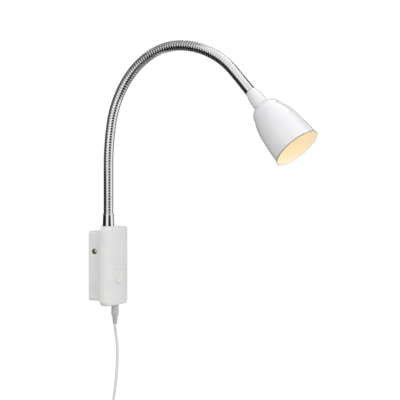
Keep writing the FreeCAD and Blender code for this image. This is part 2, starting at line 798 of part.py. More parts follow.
def neck_runs():
    """The neck's middle line as (start distance, radius or 0, start point, start turn in radians)."""
    point = Vector(0, 0, float(boss_top + ferrule_high))
    runs = [(0.0, 0.0, point, 0.0)]
    distance = float(neck_rise)
    point = point + Vector(0, 0, distance)
    turn = 0.0
    for arc_radius, degrees in neck_arcs:
        radius = float(arc_radius)
        runs.append((distance, radius, point, turn))
        after = turn + math.radians(float(degrees))
        point = point + Vector(0, radius * (math.cos(after) - math.cos(turn)),
                               radius * (math.sin(after) - math.sin(turn)))
        distance += radius * (after - turn)
        turn = after
    runs.append((distance, 0.0, point, turn))
    return runs


NECK = neck_runs()


def neck_at(distance):
    """Point on the middle line and turn away from upright, that far along the neck."""
    start, radius, point, turn = max((run for run in NECK if run[0] <= max(distance, 0.0)),
                                     key=lambda run: run[0])
    ahead = distance - start
    if not radius:
        heading = Vector(0, -math.sin(turn), math.cos(turn))
        return point + heading * ahead, turn
    after = turn + ahead / radius
    return point + Vector(0, radius * (math.cos(after) - math.cos(turn)),
                          radius * (math.sin(after) - math.sin(turn))), after


def frame_at(distance):
    """Placement with Z along the neck and X square to the plane that it lies in."""
    point, turn = neck_at(distance)
    return Placement(point, Rotation(Vector(1, 0, 0), math.degrees(turn)))


def ring_at(distance, radius):
    ring = Part.makeCircle(radius)
    ring.Placement = frame_at(distance)
    return Part.Wire(ring)


def ribbed_length(first, last):
    """Ruled loft through the valleys and crests of the ribs from one valley to another."""
    flank = float(rib_flank)
    rings = [ring_at(first * float(rib_pitch), float(rib_valley))]
    for number in range(first, last):
        start = number * float(rib_pitch)
        end = start + float(rib_pitch)
        rings.append(ring_at(start + flank, float(rib_crest)))
        rings.append(ring_at(end - flank, float(rib_crest)))
        rings.append(ring_at(end, float(rib_valley)))
    return Part.makeLoft(rings, True, True)


def neck_line(first, last):
    """Edges along the middle line between two distances."""
    stops = [first] + [run[0] for run in NECK if first < run[0] < last] + [last]
    edges = []
    for start, end in zip(stops, stops[1:]):
        half = (start + end) / 2
        curved = max((run for run in NECK if run[0] <= max(half, 0.0)), key=lambda run: run[0])[1]
        ends = neck_at(start)[0], neck_at(end)[0]
        line = Part.Arc(ends[0], neck_at(half)[0], ends[1]) if curved else Part.LineSegment(*ends)
        edges.append(line.toShape())
    return Part.Wire(edges)


def neck_hole(first, last):
    ring = ring_at(first, float(neck_bore))
    return neck_line(first, last).makePipeShell([ring], True, False)


def hinge_centre(rib):
    return neck_at(rib * float(rib_pitch) - float(hinge_back))[0]


def make_neck_segment(number, first, last):
    """One stretch of the ribbed neck: a socket at its lower end, a ball at its upper one."""
    pitch = float(rib_pitch)
    valley = float(rib_valley)
    ball = float(ball_radius)
    solid = ribbed_length(first, last)
    hole_end = last * pitch
    if last < neck_ribs:
        stub = Part.makeCylinder(valley, ball + pitch, Vector(0, 0, -pitch / 2), Vector(0, 0, 1))
        stub.Placement = frame_at(last * pitch).multiply(stub.Placement)
        solid = solid.fuse(stub.common(Part.makeSphere(ball, hinge_centre(last))))
        hole_end += ball
    solid = solid.cut(neck_hole(first * pitch, hole_end))
    if first > 0:
        solid = solid.cut(Part.makeSphere(ball + float(joint_gap), hinge_centre(first)))
    thing = doc.addObject("Part::Feature", "neck_segment_%d" % number)
    thing.Shape = solid.Solids[0]
    thing.Placement = neck_base
    return keep(thing)


# ---------------------------------------------------------------- head

head_start = frame_at(neck_long)
head_place = neck_base.multiply(head_start)
cup_from = collar_long
crease = collar_long + cup_long
nut_from = crease + shade_wall
sink_from = nut_from + shade_nut_thick + fit_gap
nipple_end = crease + nipple_long + fit_gap
plate_from = nipple_end + ring_lip
led_from = plate_from + sink_plate + led_board_thick


def on_head(thing):
    thing.Placement = head_place
    return keep(thing)


def make_collar():
    """Slim chrome ferrule between the neck and the cup."""
    stem = neck_bore - thread_gap
    thread = collar_thread - thread_gap
    return on_head(turned("upper_ferrule", [
        (lead_bore, -stem_long), (stem, -stem_long), (stem, 0), (collar_start, 0),
        (collar_end, collar_long), (thread, collar_long), (thread, collar_long + collar_thread_long),
        (lead_bore, collar_long + collar_thread_long),
    ]))


def make_neck_cup():
    """White turned cup with a threaded seat for the ferrule and a nipple that the shade hangs on."""
    seat = cup_from + collar_thread_long + fit_gap
    return on_head(turned("neck_cup", [
        (collar_thread, cup_from), (cup_start - cup_chamfer, cup_from),
        (cup_start, cup_from + cup_chamfer, cup_bulge), (cup_end, crease),
        (nipple_radius, crease), (nipple_radius, crease + nipple_long),
        (lead_bore, crease + nipple_long), (lead_bore, seat), (collar_thread, seat),
    ]))


def make_shade():
    """Tulip shade with a rolled shoulder, a long belly and a slightly flared lip."""
    wall = shade_wall
    return on_head(turned("shade", [
        (nipple_radius + fit_gap, crease), (shade_crease, crease, shoulder_curve),
        (shoulder_radius, crease + shoulder_along, belly_curve),
        (belly_radius, crease + belly_along, lip_curve), (lip_radius, crease + lip_along),
        (shade_mouth, crease + shade_long), (shade_mouth - wall, crease + shade_long),
        (lip_radius - wall, crease + lip_along, wall - lip_curve),
        (belly_radius - wall, crease + belly_along, wall - belly_curve),
        (shoulder_radius - wall, crease + shoulder_along, wall - shoulder_curve),
        (shade_crease, crease + wall), (nipple_radius + fit_gap, crease + wall),
    ]))


def make_shade_nut():
    corners = tube_corners(shade_nut_radius, nipple_radius + thread_gap, nut_from, nut_from + shade_nut_thick)
    return on_head(turned("shade_nut", corners))


def make_heat_sink():
    """Finned aluminium disc, screwed on the nipple's end."""
    hub = turned("sink_turned", [
        (lead_bore, nipple_end), (nipple_radius + thread_gap, nipple_end),
        (nipple_radius + thread_gap, sink_from), (sink_hub, sink_from), (sink_hub, plate_from),
        (sink_radius, plate_from), (sink_radius, plate_from + sink_plate),
        (lead_bore, plate_from + sink_plate),
    ])
    fins = []
    for number in range(sink_fins):
        turn = Rotation(Vector(0, 0, 1), 360.0 * number / sink_fins)
        start = turn.multVec(Vector(float(sink_hub - sink_fin_root), -float(sink_fin_thick) / 2,
                                    float(sink_from + sink_fin_back)))
        fins.append(block("sink_fin_%d" % number, sink_fin_reach - sink_hub + sink_fin_root, sink_fin_thick,
                          plate_from - sink_from - sink_fin_back, start.x, start.y, start.z, turn))
    return on_head(fused("heat_sink", hub, *fins))


def make_led_parts():
    """Light engine: board, chip, frosted lens and the ring that holds the lens."""
    front = plate_from + sink_plate
    board = turned("led_board", [(0, front), (led_board_radius, front), (led_board_radius, led_from),
                                 (0, led_from)])
    chip = turned("led_chip", [(0, led_from), (led_radius, led_from), (led_radius, led_from + led_thick),
                               (0, led_from + led_thick)])
    ring_top = plate_from + ring_high
    bore = sink_radius + thread_gap
    ring = turned("retaining_ring", [
        (bore, plate_from), (bore + ring_wall, plate_from), (bore + ring_wall, ring_top),
        (bore - ring_lip, ring_top), (bore - ring_lip, ring_top - ring_wall), (bore, ring_top - ring_wall),
    ])
    lens_top = ring_top - ring_wall
    lens = turned("diffuser_lens", [(0, lens_top - lens_thick), (sink_radius, lens_top - lens_thick),
                                    (sink_radius, lens_top), (0, lens_top)])
    lead = turned("head_lead", [(0, -stem_long), (lead_radius, -stem_long), (lead_radius, front), (0, front)])
    return [on_head(thing) for thing in (board, chip, ring, lens, lead)]


# ---------------------------------------------------------------- cords


def arc_from(start, heading, end):
    """The arc that leaves a point along a heading and ends at another point."""
    length = (end - start).Length
    straight = (end - start) / length
    along = max(-1.0, min(1.0, heading.dot(straight)))
    half = math.acos(along) / 2
    side = (heading - straight * along).normalize()
    middle = start + (end - start) / 2 + side * (length / 2 * math.tan(half))
    return Part.Arc(start, middle, end).toShape()


def biarc(start, heading, end, last_heading):
    """Two arcs that join two points with the given headings."""
    gap = end - start
    both = heading + last_heading
    square = 2 * (1 - heading.dot(last_heading))
    linear = 2 * gap.dot(both)
    reach = (-linear + math.sqrt(linear * linear + 4 * square * gap.dot(gap))) / (2 * square)
    middle = (start + heading * reach + end - last_heading * reach) / 2
    second = arc_from(end, -last_heading, middle)
    back = second.Curve.value((second.FirstParameter + second.LastParameter) / 2)
    return [arc_from(start, heading, middle), Part.Arc(middle, back, end).toShape()]


def tube(edges, radius):
    """Round tube along edges that meet smoothly."""
    line = Part.Wire(edges)
    first = edges[0]
    start = first.valueAt(first.FirstParameter)
    ring = Part.makeCircle(radius, start, first.tangentAt(first.FirstParameter))
    return line.makePipeShell([Part.Wire(ring)], True, False), line.Length


def routed(points, name):
    """Straight runs joined by arcs, each arc as large as its two runs allow."""
    points = [Vector(*point) for point in points]
    edges = []
    radii = []
    start = points[0]
    for before, corner, after in zip(points, points[1:], points[2:]):
        inward = (corner - before).normalize()
        onward = (after - corner).normalize()
        half = math.acos(max(-1.0, min(1.0, inward.dot(onward)))) / 2
        reach = 0.45 * min((corner - before).Length, (after - corner).Length)
        radii.append(reach / math.tan(half))
        entry = corner - inward * reach
        leave = corner + onward * reach
        edges.append(Part.LineSegment(start, entry).toShape())
        edges.append(arc_from(entry, inward, leave))
        start = leave
    edges.append(Part.LineSegment(start, points[-1]).toShape())
    print("%s: bend radii %s mm" % (name, ", ".join("%.1f" % radius for radius in radii)))
    return edges


def cord_feature(name, edges, radius):
    solid, length = tube(edges, radius)
    wanted = math.pi * radius * radius * length
    print("%s: length %.1f mm, volume %.1f of %.1f mm3" % (name, length, solid.Volume, wanted))
    thing = doc.addObject("Part::Feature", name)
    thing.Shape = solid
    return keep(thing)


PLUG_END = -float(boss_top + plug_gap + plug_long + relief_long)
COIL_X = 16.0  # middle of the coil
COIL_FRONT = -30.0  # the coil's first layer, nearest the room
COIL_TOP = -200.0  # top of its outermost turn
CORD_ROUTE = [  # from the plug down to the coil, chosen by hand
    (0.0, -float(inlet_from_wall), PLUG_END),
    (0.0, -float(inlet_from_wall), -83.0),
    (-0.4, -29.4, -98.0),
    (-2.0, -30.3, -122.0),
    (-5.2, -30.1, -152.0),
    (-8.6, -30.0, -172.0),
    (-9.7, -30.0, -185.8),
    (-4.5, -30.0, -194.8),
    (4.5, -30.0, -200.0),
    (12.5, -30.0, -200.0),
]
TAIL_ROUTE = [  # from the coil down to the adapter, as steps from the coil's end
    (0.0, 0.0, 0.0), (-8.0, 0.0, 0.0), (-17.0, 0.0, -5.2), (-22.2, 0.0, -14.2), (-22.2, 0.0, -22.2),
]


def coil_edges():
    """Flat spirals in and out, with one climbing half turn between layers, from one unbroken line."""
    radius = float(coil_outer)
    step = float(coil_pitch) / 2
    middle = Vector(COIL_X, COIL_FRONT, COIL_TOP - radius)
    lead_in = 2 * float(cord_radius)
    top = middle + Vector(0, 0, radius)
    edges = [Part.LineSegment(top - Vector(lead_in, 0, 0), top).toShape()]
    up = 1
    side = 1
    inward = -1
    layer = 0.0
    for number in range(coil_layers):
        for _ in range(coil_half_turns):
            start = middle + Vector(0, layer, radius * up)
            radius += inward * step
            end = middle + Vector(0, layer, -radius * up)
            edges.append(arc_from(start, Vector(up, 0, 0), end))
            up = -up
        if number == coil_layers - 1:
            break
        edges += climb(middle + Vector(0, layer, 0), radius, up, float(coil_pitch))
        layer += float(coil_pitch)
        up = -up
        inward = -inward
    end = middle + Vector(0, layer, radius * up)
    edges.append(Part.LineSegment(end, end + Vector(lead_in * up, 0, 0)).toShape())
    return edges


def climb(middle, radius, up, rise):
    """Half a turn at a steady radius that eases from one layer to the next, in two quarter turns."""
    stops = []
    for quarter in range(3):
        angle = math.pi * quarter / 2
        point = middle + Vector(radius * up * math.sin(angle), rise / 2 * (1 - math.cos(angle)),
                                radius * up * math.cos(angle))
        heading = Vector(radius * up * math.cos(angle), rise / 2 * math.sin(angle),
                         -radius * up * math.sin(angle)).normalize()
        stops.append((point, heading))
    return biarc(*stops[0], *stops[1]) + biarc(*stops[1], *stops[2])


def least_gap(edges, diameter):
    """Smallest clear gap between turns, measured on points along the coil's middle line."""
    points = Part.Wire(edges).discretize(Distance=diameter / 4)
    near = 10  # points less than this far apart in the row belong to the same stretch
    least = min((points[i] - points[j]).Length
                for i in range(len(points)) for j in range(i + near, len(points)))
    return least - diameter


def make_cord():
    radius = float(cord_radius)
    cord_feature("supply_cord", routed(CORD_ROUTE, "supply_cord"), radius)
    turns = coil_edges()
    print("cord_coil: least gap between turns %.2f mm" % least_gap(turns, 2 * radius))
    cord_feature("cord_coil", turns, radius)
    last = turns[-1]
    start = last.valueAt(last.LastParameter)
    tail = [tuple(start + Vector(*step)) for step in TAIL_ROUTE]
    cord_feature("cord_tail", routed(tail, "cord_tail"), radius)
    return Vector(*tail[-1])


def make_cable_tie():
    """Flat strap round all the turns, at the coil's side."""
    inner = coil_outer - coil_pitch * coil_half_turns / 2 - cord_radius - fit_gap * 2
    outer = coil_outer - coil_pitch / 4 + cord_radius + fit_gap
    deep = coil_pitch * (coil_layers - 1) + (cord_radius + fit_gap) * 2
    front = COIL_FRONT - cord_radius - fit_gap
    low = COIL_TOP - coil_outer - tie_wide / 2
    strap = block("tie_outer", outer - inner + tie_thick * 2, deep + tie_thick * 2, tie_wide,
                  COIL_X + inner - tie_thick, front - tie_thick, low)
    hole = block("tie_inner", outer - inner, deep, tie_wide, COIL_X + inner, front, low)
    return keep(cut("cable_tie", strap, hole))


def make_adapter(entry):
    """Plug-in power adapter that hangs on the cord's end, with two flat pins."""
    body = doc.addObject("PartDesign::Body", "adapter_body")
    plan = rounded_rectangle(adapter_wide, adapter_deep, adapter_corner)
    pad(body, outline(sketch_on(body, "XY_Plane", -adapter_relief - adapter_high), plan), adapter_high)
    relief = sketch_on(body, "XY_Plane", -adapter_relief)
    circle(relief, 0, 0, cord_radius * 2)
    pad(body, relief, adapter_relief)
    keep(place(body, entry.x, entry.y, entry.z))
    pins = []
    floor = entry.z - adapter_relief - adapter_high
    for side, name in ((1, "right"), (-1, "left")):
        pins.append(block(name + "_pin", pin_thick, pin_wide, pin_long,
                          entry.x + pin_apart * side / 2 - pin_thick / 2, entry.y - pin_wide / 2,
                          floor - pin_long))
    group = doc.addObject("Part::Compound", "adapter_pins")
    group.Links = pins
    return keep(group)


def make_plug():
    """Round low-voltage plug: moulded grip, grooved strain relief and metal barrel."""
    top = -boss_top - plug_gap
    neck = top - plug_long
    corners = [(0, top), (0, neck - relief_long), (relief_end, neck - relief_long)]
    step = relief_long / (relief_grooves + 1)
    for number in reversed(range(1, relief_grooves + 1)):
        shrink = (relief_radius - relief_end) * number / (relief_grooves + 1)
        height = neck - step * number
        wide = relief_radius - shrink
        low = height - relief_groove_wide / 2
        high = height + relief_groove_wide / 2
        corners += [(wide, low), (wide - relief_groove, low), (wide - relief_groove, high), (wide, high)]
    corners += [(relief_radius, neck), (plug_radius, neck + plug_shoulder), (plug_radius, top - plug_edge),
                (plug_radius - plug_edge, top)]
    barrel = tube_corners(barrel_radius, barrel_bore, top, top + barrel_long)
    for name, shape in (("dc_plug_body", corners), ("dc_plug_barrel", barrel)):
        keep(place(turned(name, shape), 0, -inlet_from_wall))


def make_lamp_lead():
    """Lead from the top of the board up into the hollow stud."""
    board_line = -float(board_from_wall + board_thick / 2)
    centre = -float(neck_from_wall)
    stud_end = boss_top - stud_long
    points = [
        (0, board_line, float(board_top)), (0, board_line, float(board_top + lead_straight)),
        (0, centre, float(stud_end - lead_straight)), (0, centre, float(stud_end + lead_in_stud)),
    ]
    return cord_feature("lamp_lead", routed(points, "lamp_lead"), float(lead_radius))


# ---------------------------------------------------------------- build

make_wall_box()
make_front_cover()
make_cover_screws()
make_cover_inserts()
make_push_button()
make_switch_body()
make_switch_plunger()
make_switch_spring()
make_circuit_board()
make_board_screws()
make_dc_jack()
make_board_parts()
make_lower_ferrule()
make_neck_washer()
make_neck_nut()
make_lamp_lead()
doc.recompute()
valleys = (0,) + joint_ribs + (neck_ribs,)
for segment, (low_rib, high_rib) in enumerate(zip(valleys, valleys[1:]), 1):
    make_neck_segment(segment, low_rib, high_rib)
make_collar()
make_neck_cup()
make_shade()
make_shade_nut()
make_heat_sink()
make_led_parts()
make_plug()
make_adapter(make_cord())
make_cable_tie()
doc.recompute()

for thing in doc.Objects:
    if "Invalid" in thing.State or "Error" in thing.State:
        raise RuntimeError("%s failed: %s" % (thing.Name, thing.State))

os.makedirs("parts", exist_ok=True)
for node, thing in pieces.items():
    shape = thing.Shape
    if shape.isNull() or not shape.isValid() or not shape.Solids:
        raise RuntimeError("%s has no sound solid" % node)
    shape.exportStep("parts/%s.step" % node)
    box = shape.BoundBox
    print("%-18s %d solid(s) %9.1f mm3  x %.1f..%.1f  y %.1f..%.1f  z %.1f..%.1f" % (
        node, len(shape.Solids), shape.Volume, box.XMin, box.XMax, box.YMin, box.YMax, box.ZMin, box.ZMax))
for rib in joint_ribs:
    centre = neck_base.multVec(hinge_centre(rib))
    heading = neck_base.Rotation.multVec(frame_at(rib * float(rib_pitch)).Rotation.multVec(Vector(0, 0, 1)))
    print("joint at rib %d: centre %.3f %.3f %.3f heading %.5f %.5f %.5f" % (
        rib, centre.x, centre.y, centre.z, heading.x, heading.y, heading.z))
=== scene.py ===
"""Bedside wall reading lamp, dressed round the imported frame. Metres, +Z up, the wall is the plane y = 0."""
import json
import math

import bmesh
import bpy
from mathutils import Matrix, Vector


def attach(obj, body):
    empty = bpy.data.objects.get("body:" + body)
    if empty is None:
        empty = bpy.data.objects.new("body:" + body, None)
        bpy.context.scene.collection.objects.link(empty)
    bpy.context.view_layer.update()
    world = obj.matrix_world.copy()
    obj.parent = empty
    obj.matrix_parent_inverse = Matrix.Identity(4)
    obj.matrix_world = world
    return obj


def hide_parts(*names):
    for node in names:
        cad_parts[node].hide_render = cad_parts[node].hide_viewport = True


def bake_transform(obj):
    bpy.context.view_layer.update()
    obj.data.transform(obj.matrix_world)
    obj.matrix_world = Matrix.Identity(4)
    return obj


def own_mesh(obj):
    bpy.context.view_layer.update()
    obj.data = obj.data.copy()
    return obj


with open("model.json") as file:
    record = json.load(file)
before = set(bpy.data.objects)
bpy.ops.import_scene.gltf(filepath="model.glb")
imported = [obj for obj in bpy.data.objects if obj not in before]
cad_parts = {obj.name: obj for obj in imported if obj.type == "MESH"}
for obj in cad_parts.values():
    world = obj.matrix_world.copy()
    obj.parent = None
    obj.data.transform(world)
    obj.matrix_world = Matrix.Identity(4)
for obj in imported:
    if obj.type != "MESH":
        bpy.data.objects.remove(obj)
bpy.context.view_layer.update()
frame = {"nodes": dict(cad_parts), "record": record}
NODES = frame["nodes"]
MM = 0.001


def linked(name, data):
    """A new object in the scene."""
    made = bpy.data.objects.new(name, data)
    bpy.context.scene.collection.objects.link(made)
    return made


# ---------------------------------------------------------------- camera

CAMERA_PLACE = Vector((-861.7, -579.2, 84.2)) * MM
CAMERA_TURN = math.radians(63.5)  # from straight at the wall towards +X
LENS_PIXELS = 790  # focal length in pixels of the 400 pixel frame
FRAME_PIXELS = 400
SENSOR = 36.0
NEAREST, FARTHEST = 0.01, 50


def make_camera():
    data = bpy.data.cameras.new("camera")
    data.sensor_width = SENSOR
    data.lens = LENS_PIXELS / FRAME_PIXELS * SENSOR
    data.clip_start = NEAREST
    data.clip_end = FARTHEST
    camera = linked("camera", data)
    camera.location = CAMERA_PLACE
    camera.rotation_euler = (math.pi / 2, 0, -CAMERA_TURN)
    bpy.context.scene.camera = camera


make_camera()

# ---------------------------------------------------------------- materials


def linear(code):
    """sRGB hex to linear colour."""
    values = [int(code[i:i + 2], 16) / 255 for i in (1, 3, 5)]
    return [v / 12.92 if v <= 0.04045 else ((v + 0.055) / 1.055) ** 2.4 for v in values] + [1.0]


def node(tree, kind, settings=None, **links):
    """Add one node; settings are its properties, links its sockets: values or other nodes' outputs."""
    made = tree.nodes.new(kind)
    for name, value in (settings or {}).items():
        setattr(made, name, value)
    for name, value in links.items():
        socket = made.inputs[int(name[1:])] if name[1:].isdigit() else made.inputs[name.replace("_", " ")]
        if isinstance(value, bpy.types.NodeSocket):
            tree.links.new(value, socket)
        else:
            socket.default_value = value
    return made


def bare_material(name):
    """Material with only its output node."""
    material = bpy.data.materials.new(name)
    material.use_nodes = True
    tree = material.node_tree
    tree.nodes.clear()
    return material, tree, tree.nodes.new("ShaderNodeOutputMaterial")


def new_material(name):
    material, tree, output = bare_material(name)
    shader = tree.nodes.new("ShaderNodeBsdfPrincipled")
    tree.links.new(shader.outputs["BSDF"], output.inputs["Surface"])
    return material, tree, shader


def fill(shader, **values):
    for name, value in values.items():
        shader.inputs[name.replace("_", " ")].default_value = value


PATCH_EDGES = (0.35, 0.65)  # share of the noise where a patch starts and where it is full


def mottled(tree, colour_a, colour_b, scale):
    """Slow patchy blend of two near colours, as moulded and painted surfaces show."""
    where = node(tree, "ShaderNodeTexCoord")
    noise = node(tree, "ShaderNodeTexNoise", None, Vector=where.outputs["Object"], Scale=scale, Detail=3.0)
    ramp = node(tree, "ShaderNodeValToRGB", None, Fac=noise.outputs["Fac"])
    for element, edge, colour in zip(ramp.color_ramp.elements, PATCH_EDGES, (colour_a, colour_b)):
        element.position = edge
        element.color = linear(colour)
    return where, ramp.outputs["Color"]


def bumped(tree, where, shader, scale, depth):
    """Fine surface grain. depth is its height in metres."""
    grain = node(tree, "ShaderNodeTexNoise", None, Vector=where.outputs["Object"], Scale=scale, Detail=2.0)
    bump = node(tree, "ShaderNodeBump", None, Height=grain.outputs["Fac"], Distance=depth, Strength=1.0)
    tree.links.new(bump.outputs["Normal"], shader.inputs["Normal"])
    return grain


def roughness_from(tree, shader, grain, low, high):
    spread = node(tree, "ShaderNodeMapRange", None, Value=grain.outputs["Fac"])
    spread.inputs["To Min"].default_value = low
    spread.inputs["To Max"].default_value = high
    tree.links.new(spread.outputs["Result"], shader.inputs["Roughness"])


def surface(name, light, dark, rough, patch_scale, grain_scale, grain_depth, rough_spread, **values):
    """Slow patches of two near colours under a fine grain; scales are per metre, the depth is in metres."""
    material, tree, shader = new_material(name)
    where, colour = mottled(tree, dark, light, patch_scale)
    tree.links.new(colour, shader.inputs["Base Color"])
    grain = bumped(tree, where, shader, grain_scale, grain_depth)
    roughness_from(tree, shader, grain, rough - rough_spread[0], rough + rough_spread[1])
    fill(shader, **values)
    return material


def satin_abs(name, light, dark, rough=0.38):
    """Moulded ABS with a fine spark-eroded grain, about 0.3 mm across: soft, wide highlights."""
    return surface(name, light, dark, rough, patch_scale=35.0, grain_scale=3300.0, grain_depth=8e-6,
                   rough_spread=(0.04, 0.06), IOR=1.53)


def glossy_enamel(name, light, dark, rough=0.16):
    """Sprayed gloss enamel: a clear-looking white with faint orange peel, about 1.5 mm across."""
    return surface(name, light, dark, rough, patch_scale=25.0, grain_scale=650.0, grain_depth=6e-6,
                   rough_spread=(0.03, 0.05), IOR=1.5, Coat_Weight=0.4, Coat_Roughness=0.08)


def machined_metal(name, light, dark, rough=0.3):
    """Turned or pressed metal with fine tool marks."""
    return surface(name, light, dark, rough, patch_scale=400.0, grain_scale=4000.0, grain_depth=4e-6,
                   rough_spread=(0.05, 0.1), Metallic=1.0)


def moulded_pvc(name, light, dark, rough=0.48):
    """Soft PVC: satin, slightly uneven, as cords and moulded plugs are."""
    return surface(name, light, dark, rough, patch_scale=90.0, grain_scale=2200.0, grain_depth=10e-6,
                   rough_spread=(0.05, 0.08), IOR=1.5)


def lining_with_painted_glow(name):
    """Inside of the shade: a white coat with painted warm light. Its cream tint and its soft glow stand in
    for its own lamp's light falling on it.
    """
    material, tree, shader = new_material(name)
    # painted warm light: a cream tint on what is a white coat
    where, colour = mottled(tree, "#FFF3DA", "#FFF8E6", 18.0)
    tree.links.new(colour, shader.inputs["Base Color"])
    # painted glow: this emission stands in for the lamp's warm light falling on the lining
    fill(shader, Roughness=0.45, IOR=1.5, Emission_Color=linear("#FFE3B4"), Emission_Strength=0.13)
    return material


def polished_chrome(name, rough):
    """Bright chrome plate: mirror-like, with a very faint polishing haze."""
    material, tree, shader = new_material(name)
    where, colour = mottled(tree, "#E6E8EA", "#EFF0F2", 60.0)
    tree.links.new(colour, shader.inputs["Base Color"])
    haze = node(tree, "ShaderNodeTexNoise", None, Vector=where.outputs["Object"], Scale=900.0, Detail=2.0)
    roughness_from(tree, shader, haze, rough, rough + 0.05)
    fill(shader, Metallic=1.0)
    return material


def frosted_lens(name):
    """Frosted acrylic over the light engine, lit warm from behind."""
    material, tree, shader = new_material(name)
    where, colour = mottled(tree, "#FFE9B8", "#FFF6DC", 60.0)
    tree.links.new(colour, shader.inputs["Base Color"])
    tree.links.new(colour, shader.inputs["Emission Color"])
    fill(shader, Roughness=0.6, IOR=1.49, Emission_Strength=0.7)
    return material


HOUSING = satin_abs("satin_white_ABS", "#E9E9E7", "#E3E4E3")
BUTTON = satin_abs("satin_white_button_ABS", "#ECECE9", "#E6E6E3", 0.34)
SHADE = glossy_enamel("gloss_white_shade", "#EFEFF1", "#EAEAEC")
LINING_PAINTED_GLOW = lining_with_painted_glow("white_lining_painted_warm_glow")
# painted shadow: olive grey that stands in for the shadow on the shade's rolled outer lip
RIM_PAINTED_SHADOW = satin_abs("shade_rim_painted_shadow", "#B4B29E", "#A8A691", 0.4)
CHROME = polished_chrome("polished_chrome", 0.07)
SCREW = machined_metal("zinc_plated_steel", "#C9BEA8", "#A2957C", 0.2)
BRASS = machined_metal("turned_brass", "#B8A06A", "#9C8450", 0.3)
ALUMINIUM = machined_metal("milled_aluminium", "#C3C6C9", "#AEB2B6", 0.38)
NICKEL = machined_metal("nickel_plated_brass", "#C9C9C6", "#B4B4B0", 0.2)
PLUG = moulded_pvc("pale_grey_PVC_plug", "#C4C5C1", "#BABCB8", 0.42)
CORD = moulded_pvc("pale_grey_PVC_cord", "#DCDEDF", "#D4D6D8")
LEAD = moulded_pvc("white_lead_insulation", "#D8D8D4", "#CFCFCA")
BLACK = moulded_pvc("black_moulded_plastic", "#26272A", "#1E1F21")
BOARD = satin_abs("green_board_laminate", "#3B6B45", "#33603D", 0.4)
LENS = frosted_lens("frosted_acrylic_lens")
PHOSPHOR = satin_abs("yellow_phosphor", "#E8C765", "#DDB94F", 0.4)

FINISH = {
    "housing_plastic": HOUSING, "button_plastic": BUTTON, "screw_steel": SCREW, "spring_steel": SCREW,
    "brass": BRASS, "black_plastic": BLACK, "board_laminate": BOARD, "can_aluminium": ALUMINIUM,
    "chrome": CHROME, "lead_jacket": LEAD, "shade_gloss": SHADE, "led_phosphor": PHOSPHOR,
    "frosted_lens": LENS, "plug_plastic": PLUG, "nickel": NICKEL, "cord_jacket": CORD,
}

# ---------------------------------------------------------------- mesh helpers


def add_object(name, mesh, materials, body):
    piece = linked(name, mesh)
    for material in materials:
        mesh.materials.append(material)
    if body:
        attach(piece, body)
    return piece


def arc_points(middle, radius, start, end, count):
    """Points of an arc in a profile's plane, angles in degrees."""
    angles = [math.radians(start + (end - start) * i / count) for i in range(count + 1)]
    return [(middle[0] + radius * math.cos(a), middle[1] + radius * math.sin(a)) for a in angles]


def bowed(start, end, radius, count=12):
    """Points of the arc from start to end; a positive radius turns left, a negative one right."""
    a = Vector(start)
    b = Vector(end)
    chord = b - a
    left = Vector((-chord.y, chord.x)).normalized() * (1 if radius > 0 else -1)
    reach = math.sqrt(max(radius * radius - chord.length_squared / 4, 0.0))
    middle = (a + b) / 2 + left * reach
    first = math.atan2(a.y - middle.y, a.x - middle.x)
    last = math.atan2(b.y - middle.y, b.x - middle.x)
    turn = (last - first) % math.tau if radius > 0 else -((first - last) % math.tau)
    return [tuple(middle + Vector((math.cos(first + turn * i / count), math.sin(first + turn * i / count)))
            * abs(radius)) for i in range(count + 1)]


def lathe(name, profile, place, materials, body, steps=96, zones=(), sharp=35):
    """Turn a closed profile of (radius, height) in millimetres about Z. zones are (first point, material)."""
    work = bmesh.new()
    rings = []
    for radius, height in profile:
        if radius < 1e-6:
            rings.append([work.verts.new(place @ Vector((0, 0, height * MM)))])
            continue
        ring = []
        for step in range(steps):
            angle = math.tau * step / steps
            spot = Vector((radius * math.cos(angle), radius * math.sin(angle), height)) * MM
            ring.append(work.verts.new(place @ spot))
        rings.append(ring)
    closed = not (len(rings[0]) == 1 and len(rings[-1]) == 1)
    pairs = list(zip(rings, rings[1:])) + ([(rings[-1], rings[0])] if closed else [])
    for number, (low, high) in enumerate(pairs):
        index = 0
        for first, material in zones:
            if number >= first:
                index = material
        for step in range(steps):
            after = (step + 1) % steps
            corners = [low[step % len(low)], low[after % len(low)], high[after % len(high)],
                       high[step % len(high)]]
            corners = list(dict.fromkeys(corners))
            if len(corners) > 2:
                face = work.faces.new(corners)
                face.smooth = True
                face.material_index = index
    bmesh.ops.recalc_face_normals(work, faces=work.faces)
    for edge in work.edges:
        if len(edge.link_faces) == 2 and edge.calc_face_angle(0) > math.radians(sharp):
            edge.smooth = False
    mesh = bpy.data.meshes.new(name)
    work.to_mesh(mesh)
    work.free()
    return add_object(name, mesh, materials, body)


def at(x=0, y=0, z=0, turn=None):
    return Matrix.Translation(Vector((x, y, z)) * MM) @ (turn or Matrix.Identity(4))


TO_FRONT = Matrix.Rotation(math.pi / 2, 4, "X")


SAME_POINT = 1e-6  # metres
FLAT = math.radians(0.6)  # faces that meet within this angle become one


def dressed(node_name, material, name, bevel=0.0):
    """A CAD node's own shape with its edges softened; the node itself is replaced."""
    mesh = NODES[node_name].data.copy()
    work = bmesh.new()
    work.from_mesh(mesh)
    bmesh.ops.remove_doubles(work, verts=work.verts, dist=SAME_POINT)
    bmesh.ops.dissolve_limit(work, angle_limit=FLAT, verts=work.verts, edges=work.edges)
    work.to_mesh(mesh)
    work.free()
    mesh.materials.clear()
    body = next(b for b, names in frame["record"]["behaviour"]["bodies"].items() if node_name in names)
    piece = add_object(name, mesh, [material], None)
    if bevel:
        soften(piece, bevel, 3, 40)
        baked(piece)
    smooth_by_angle(piece.data, 35)
    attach(piece, body)
    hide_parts(node_name)
    return piece


def soften(piece, width, segments, angle):
    """Break the edges sharper than the angle, in degrees, by width millimetres."""
    modifier = piece.modifiers.new("soft_edges", "BEVEL")
    modifier.width = width * MM
    modifier.segments = segments
    modifier.limit_method = "ANGLE"
    modifier.angle_limit = math.radians(angle)


